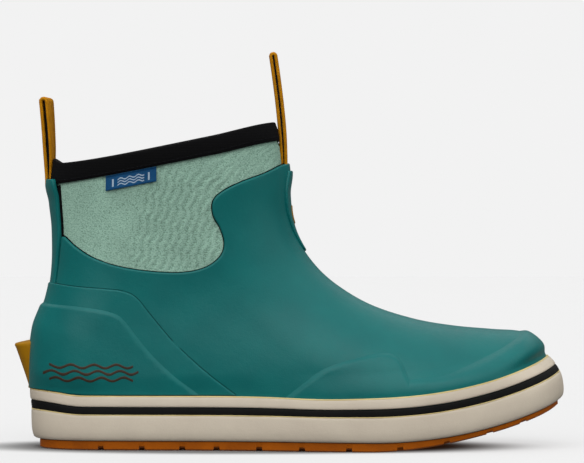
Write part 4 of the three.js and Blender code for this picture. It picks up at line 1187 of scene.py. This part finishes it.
def plyShadeShape(spine, gap):
    # Painted shade: a dark strip between the strap's two plies, in place of the shadow in the gap.
    t = np.linspace(0.06, 1.0, 50)[:, None]
    p, d = spineLine(spine, t)
    half = gap / 2 * smooth(t * 2) + 0.16
    p[-1] += d[-1] * half[-1]
    near, far = (p + np.column_stack([d[:, 1], -d[:, 0]]) * half * k for k in (1, -1))
    y = loops["width"] / 2 - 0.3
    rings = [[(a[0], -y, a[1]), (a[0], y, a[1]), (b[0], y, b[1]), (b[0], -y, b[1])]
             for a, b in zip(near, far)]
    return loft(rings, closeAcross=True, ring=False)


# Dark strips in the gaps between the plies: painted shade.
for name, (spine, gap, twist) in straps.items():
    piece(f"{name}_pull_ply_shade", plyShadeShape(spine, gap), blackTape, body=f"{name}_loop",
          angle=50)
print("stage: pull loops built")

# Woven tab sewn in under the binding.
label = {"left": 7.2, "length": 29.0, "drop": 8.4, "distance": -1.2, "thickness": 0.55, "cols": 150,
         "rows": 44, "seamRear": 152.9, "seamFront": 158.3, "hem": 1.1, "weavePitch": 0.9, "tuck": 0.6}


def outerSide(x, z):
    # The rubber's face on the outer side, above the foot, by its place in side view.
    y = lambda a, b: centreAt(a) - halfWidth(a, b)
    step = 0.5
    dx = (y(x + step, z) - y(x - step, z)) / (2 * step)
    dz = (y(x, z + step) - y(x, z - step)) / (2 * step)
    return np.stack([x, y(x, z), z], -1), unit(np.stack([dx, -np.ones_like(x), dz], -1))


def labelShape():
    u, v = np.meshgrid(np.linspace(0, 1, label["cols"]), np.linspace(0, 1, label["rows"]))
    x = label["left"] + u * label["length"]
    z = lerp(label["seamRear"], label["seamFront"], u) - v * label["drop"]
    point, normal = outerSide(x.ravel(), z.ravel())
    border = np.minimum(np.minimum(u, 1 - u) * label["length"], (1 - v) * label["drop"]).ravel()
    weave = 0.045 * np.cos(2 * math.pi * (x.ravel() + z.ravel()) / label["weavePitch"])
    weave += 0.06 * (np.abs(border - label["hem"]) < 0.35)
    fold = 0.25 * np.sqrt(clamp01(border / 0.35)) - 0.25
    lean = 0.35 * v.ravel() ** 2 + label["tuck"] * smooth(1 - v.ravel() / 0.15) + 0.12 * np.sin(u.ravel() * 7)
    top = point + normal * (label["distance"] + label["thickness"] / 2 + lean + fold + weave)[:, None]
    bottom = point + normal * (label["distance"] - label["thickness"] / 2 + lean - fold)[:, None]
    n, c = len(top), label["cols"]
    faces = []
    for r in range(label["rows"] - 1):
        for k in range(c - 1):
            a = r * c + k
            faces += [(a, a + c, a + c + 1, a + 1), (n + a, n + a + 1, n + a + c + 1, n + a + c)]
    last = label["rows"] - 1
    rim = [*range(c), *[r * c + c - 1 for r in range(1, last + 1)],
           *[last * c + k for k in range(c - 2, -1, -1)], *[r * c for r in range(last - 1, 0, -1)]]
    faces += [(a, b, b + n, a + n) for a, b in zip(rim, rim[1:] + rim[:1])]
    return np.vstack([top, bottom]), faces


motif = {"across": 14.5, "down": 4.6, "pitch": 1.5, "swell": 0.5, "wavelength": 5.0, "lineHalf": 0.32,
         "lineReach": 7.6, "barAt": 10.2, "barHalf": 0.45, "barReach": 2.2}


def labelMotif():
    # Three woven waves between two plain bars.
    u, v = np.meshgrid(np.linspace(0, 1, label["cols"]), np.linspace(0, 1, label["rows"]))
    across, down = u * label["length"], v * label["drop"]
    wave = motif["swell"] * np.sin(across * 2 * math.pi / motif["wavelength"])
    lines = [np.abs(down - motif["down"] - k * motif["pitch"] - wave) < motif["lineHalf"] for k in (-1, 0, 1)]
    side = np.abs(across - motif["across"])
    lines = np.any(lines, axis=0) & (side < motif["lineReach"])
    bars = np.abs(side - motif["barAt"]) < motif["barHalf"]
    bars = bars & (np.abs(down - motif["down"]) < motif["barReach"])
    values = (lines | bars).astype(float).ravel()
    return np.concatenate([values, values * 0])


tab = piece("side_label_tab", labelShape(), blueTape, body="label",
            replaces=["side_label"], angle=70)
tag(tab, "motif", labelMotif())
print("stage: label built")

# Ledge at the heel for stepping the boot off.
spur = {"back": -37.7, "reach": 9.4, "foot": 32.3, "top": 57.5, "halfWidth": 12.0, "slope": 0.22, "steps": 70}


def spurShape():
    # A crescent ledge: sections round the heel, each an undercut wall with a rounded lip and a sloping top.
    profile = [(0.8, spur["foot"]), (1.6, spur["foot"] + 0.35)]
    for t in np.linspace(0.08, 0.9, 10):
        profile.append((0.8 + (spur["reach"] - 0.8) * t ** 1.05, lerp(spur["foot"], spur["top"], t)))
    lip = spur["reach"]
    profile += [(lip - 0.35, spur["top"] - 1.4), (lip - 0.05, spur["top"] - 0.8), (lip, spur["top"] - 0.2),
                (lip - 0.3, spur["top"] + 0.35), (lip - 0.9, spur["top"] + 0.65)]
    for back in (2.2, 4.0, 6.0, 8.0):
        profile.append((lip - back, spur["top"] + 0.6 + spur["slope"] * back))
    rings = []
    for turnAt in np.linspace(-84, 84, spur["steps"]) * math.pi / 180:
        c, s = math.cos(turnAt), math.sin(turnAt)
        centre = spur["back"] + 8
        ring = []
        for reach, z in profile:
            ring.append((centre - (reach + 8) * abs(c) ** 0.8, spur["halfWidth"] * s, z))
        ring.append((centre - 6.3 * c, (spur["halfWidth"] - 1.5) * s, spur["top"] + 2.6))
        ring.append((centre - 6.3 * c, (spur["halfWidth"] - 1.5) * s, spur["foot"]))
        rings.append(ring)
    return loft(rings, closeAcross=True, ring=False)


piece("kick_spur_ledge", spurShape(), mustardRubber, replaces=["kick_spur"], angle=50)

# Pieces inside the boot that stay as they are in the frame.
inside = {"midsole": greyFoam, "shank": rolledSteel, "insole_board": fibreBoard, "heel_stiffener": fibreBoard,
          "toe_puff": fibreBoard, "front_loop_anchor": goldWebbing, "rear_loop_anchor": goldWebbing}
for name, material in inside.items():
    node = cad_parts[name]
    node.data.materials.clear()
    node.data.materials.append(material)

# Paper floor and wall, lamps and camera.
# share: how much of the paper's brightness comes from the lamps; the rest is the paper's own glow.
studio = {"keyPower": 2.4, "topPower": 1.5, "rimPower": 0.7, "sky": 0.2, "brightness": 0.888, "share": 0.3}


def paperSheet(name, corners, albedo, glow, shaded=False):
    # Lit paper that is bright by itself, so that it stays an even pale grey behind the boot.
    material, tree, surface, place = newMaterial(name, Roughness=0.95, Specular_IOR_Level=0.0,
                                                 Emission_Strength=1.0)
    grain = addNode(tree, "TexNoise", {"Scale": 3.0, "Detail": 2.0}, {"Vector": place})
    for socket, level in (("Base Color", albedo), ("Emission Color", glow)):
        tone = addNode(tree, "ValToRGB", {"stops": greys(level * 0.998, level * 1.002, 0.3, 0.7)},
                       {"Fac": grain.outputs["Fac"]})
        tree.links.new(tone.outputs["Color"], surface.inputs[socket])
    if shaded:
        # Painted shadow: no glow under the object and close round it, where the paper sees no light.
        span = addNode(tree, "Mapping", {"Location": (-0.6, 0.0, 0.0), "Scale": (7.1, 18.5, 1.0)},
                       {"Vector": place})
        reach = addNode(tree, "VectorMath", {"operation": "LENGTH"}, {"Vector": span.outputs["Vector"]})
        strength = addNode(tree, "MapRange", {"From Min": 0.8, "From Max": 1.3, "To Min": 0.0, "To Max": 1.0,
                                              "interpolation_type": "SMOOTHERSTEP"},
                           {"Value": reach.outputs["Value"]})
        tree.links.new(strength.outputs["Result"], surface.inputs["Emission Strength"])
    mesh = bpy.data.meshes.new(name)
    mesh.from_pydata(corners, [], [(0, 1, 2, 3)])
    mesh.materials.append(material)
    obj = bpy.data.objects.new(name, mesh)
    bpy.context.scene.collection.objects.link(obj)
    obj.visible_diffuse = obj.visible_glossy = False


def softSun(name, place, power, breadth):
    light = bpy.data.lights.new(name, "SUN")
    light.energy, light.angle = power, math.radians(breadth)
    obj = bpy.data.objects.new(name, light)
    bpy.context.scene.collection.objects.link(obj)
    obj.rotation_euler = Vector(place).to_track_quat("Z", "Y").to_euler()
    return power * Vector(place).normalized().z / math.pi


onFloor = studio["sky"]
onFloor += softSun("key_light", (-0.3, -0.85, 0.8), studio["keyPower"], 70)
onFloor += softSun("top_light", (0.1, 0.25, 1.0), studio["topPower"], 100)
onFloor += softSun("rim_light", (0.9, -0.5, 0.55), studio["rimPower"], 60)
lit = studio["brightness"] * studio["share"]
paperSheet("studio_floor", [(-4, -3, 0), (4, -3, 0), (4, 6, 0), (-4, 6, 0)], lit / onFloor,
           studio["brightness"] - lit, shaded=True)
paperSheet("studio_wall", [(-4, 6, -0.5), (4, 6, -0.5), (4, 6, 4), (-4, 6, 4)], 0.0, studio["brightness"])
world = bpy.data.worlds.new("studio_world")
world.use_nodes = True
world.node_tree.nodes["Background"].inputs["Color"].default_value = linear("#ffffff")
world.node_tree.nodes["Background"].inputs["Strength"].default_value = studio["sky"]
bpy.context.scene.world = world
bpy.context.scene.view_settings.view_transform = "Standard"

lens = bpy.data.cameras.new("camera")
lens.lens, lens.sensor_width, lens.clip_end = 171.8, 36.0, 50.0
camera = bpy.data.objects.new("camera", lens)
camera.location = (0.112, -1.6, 0.1232)
camera.rotation_euler = (math.pi / 2, 0, 0)
bpy.context.scene.collection.objects.link(camera)
bpy.context.scene.camera = camera

print("stage: done")
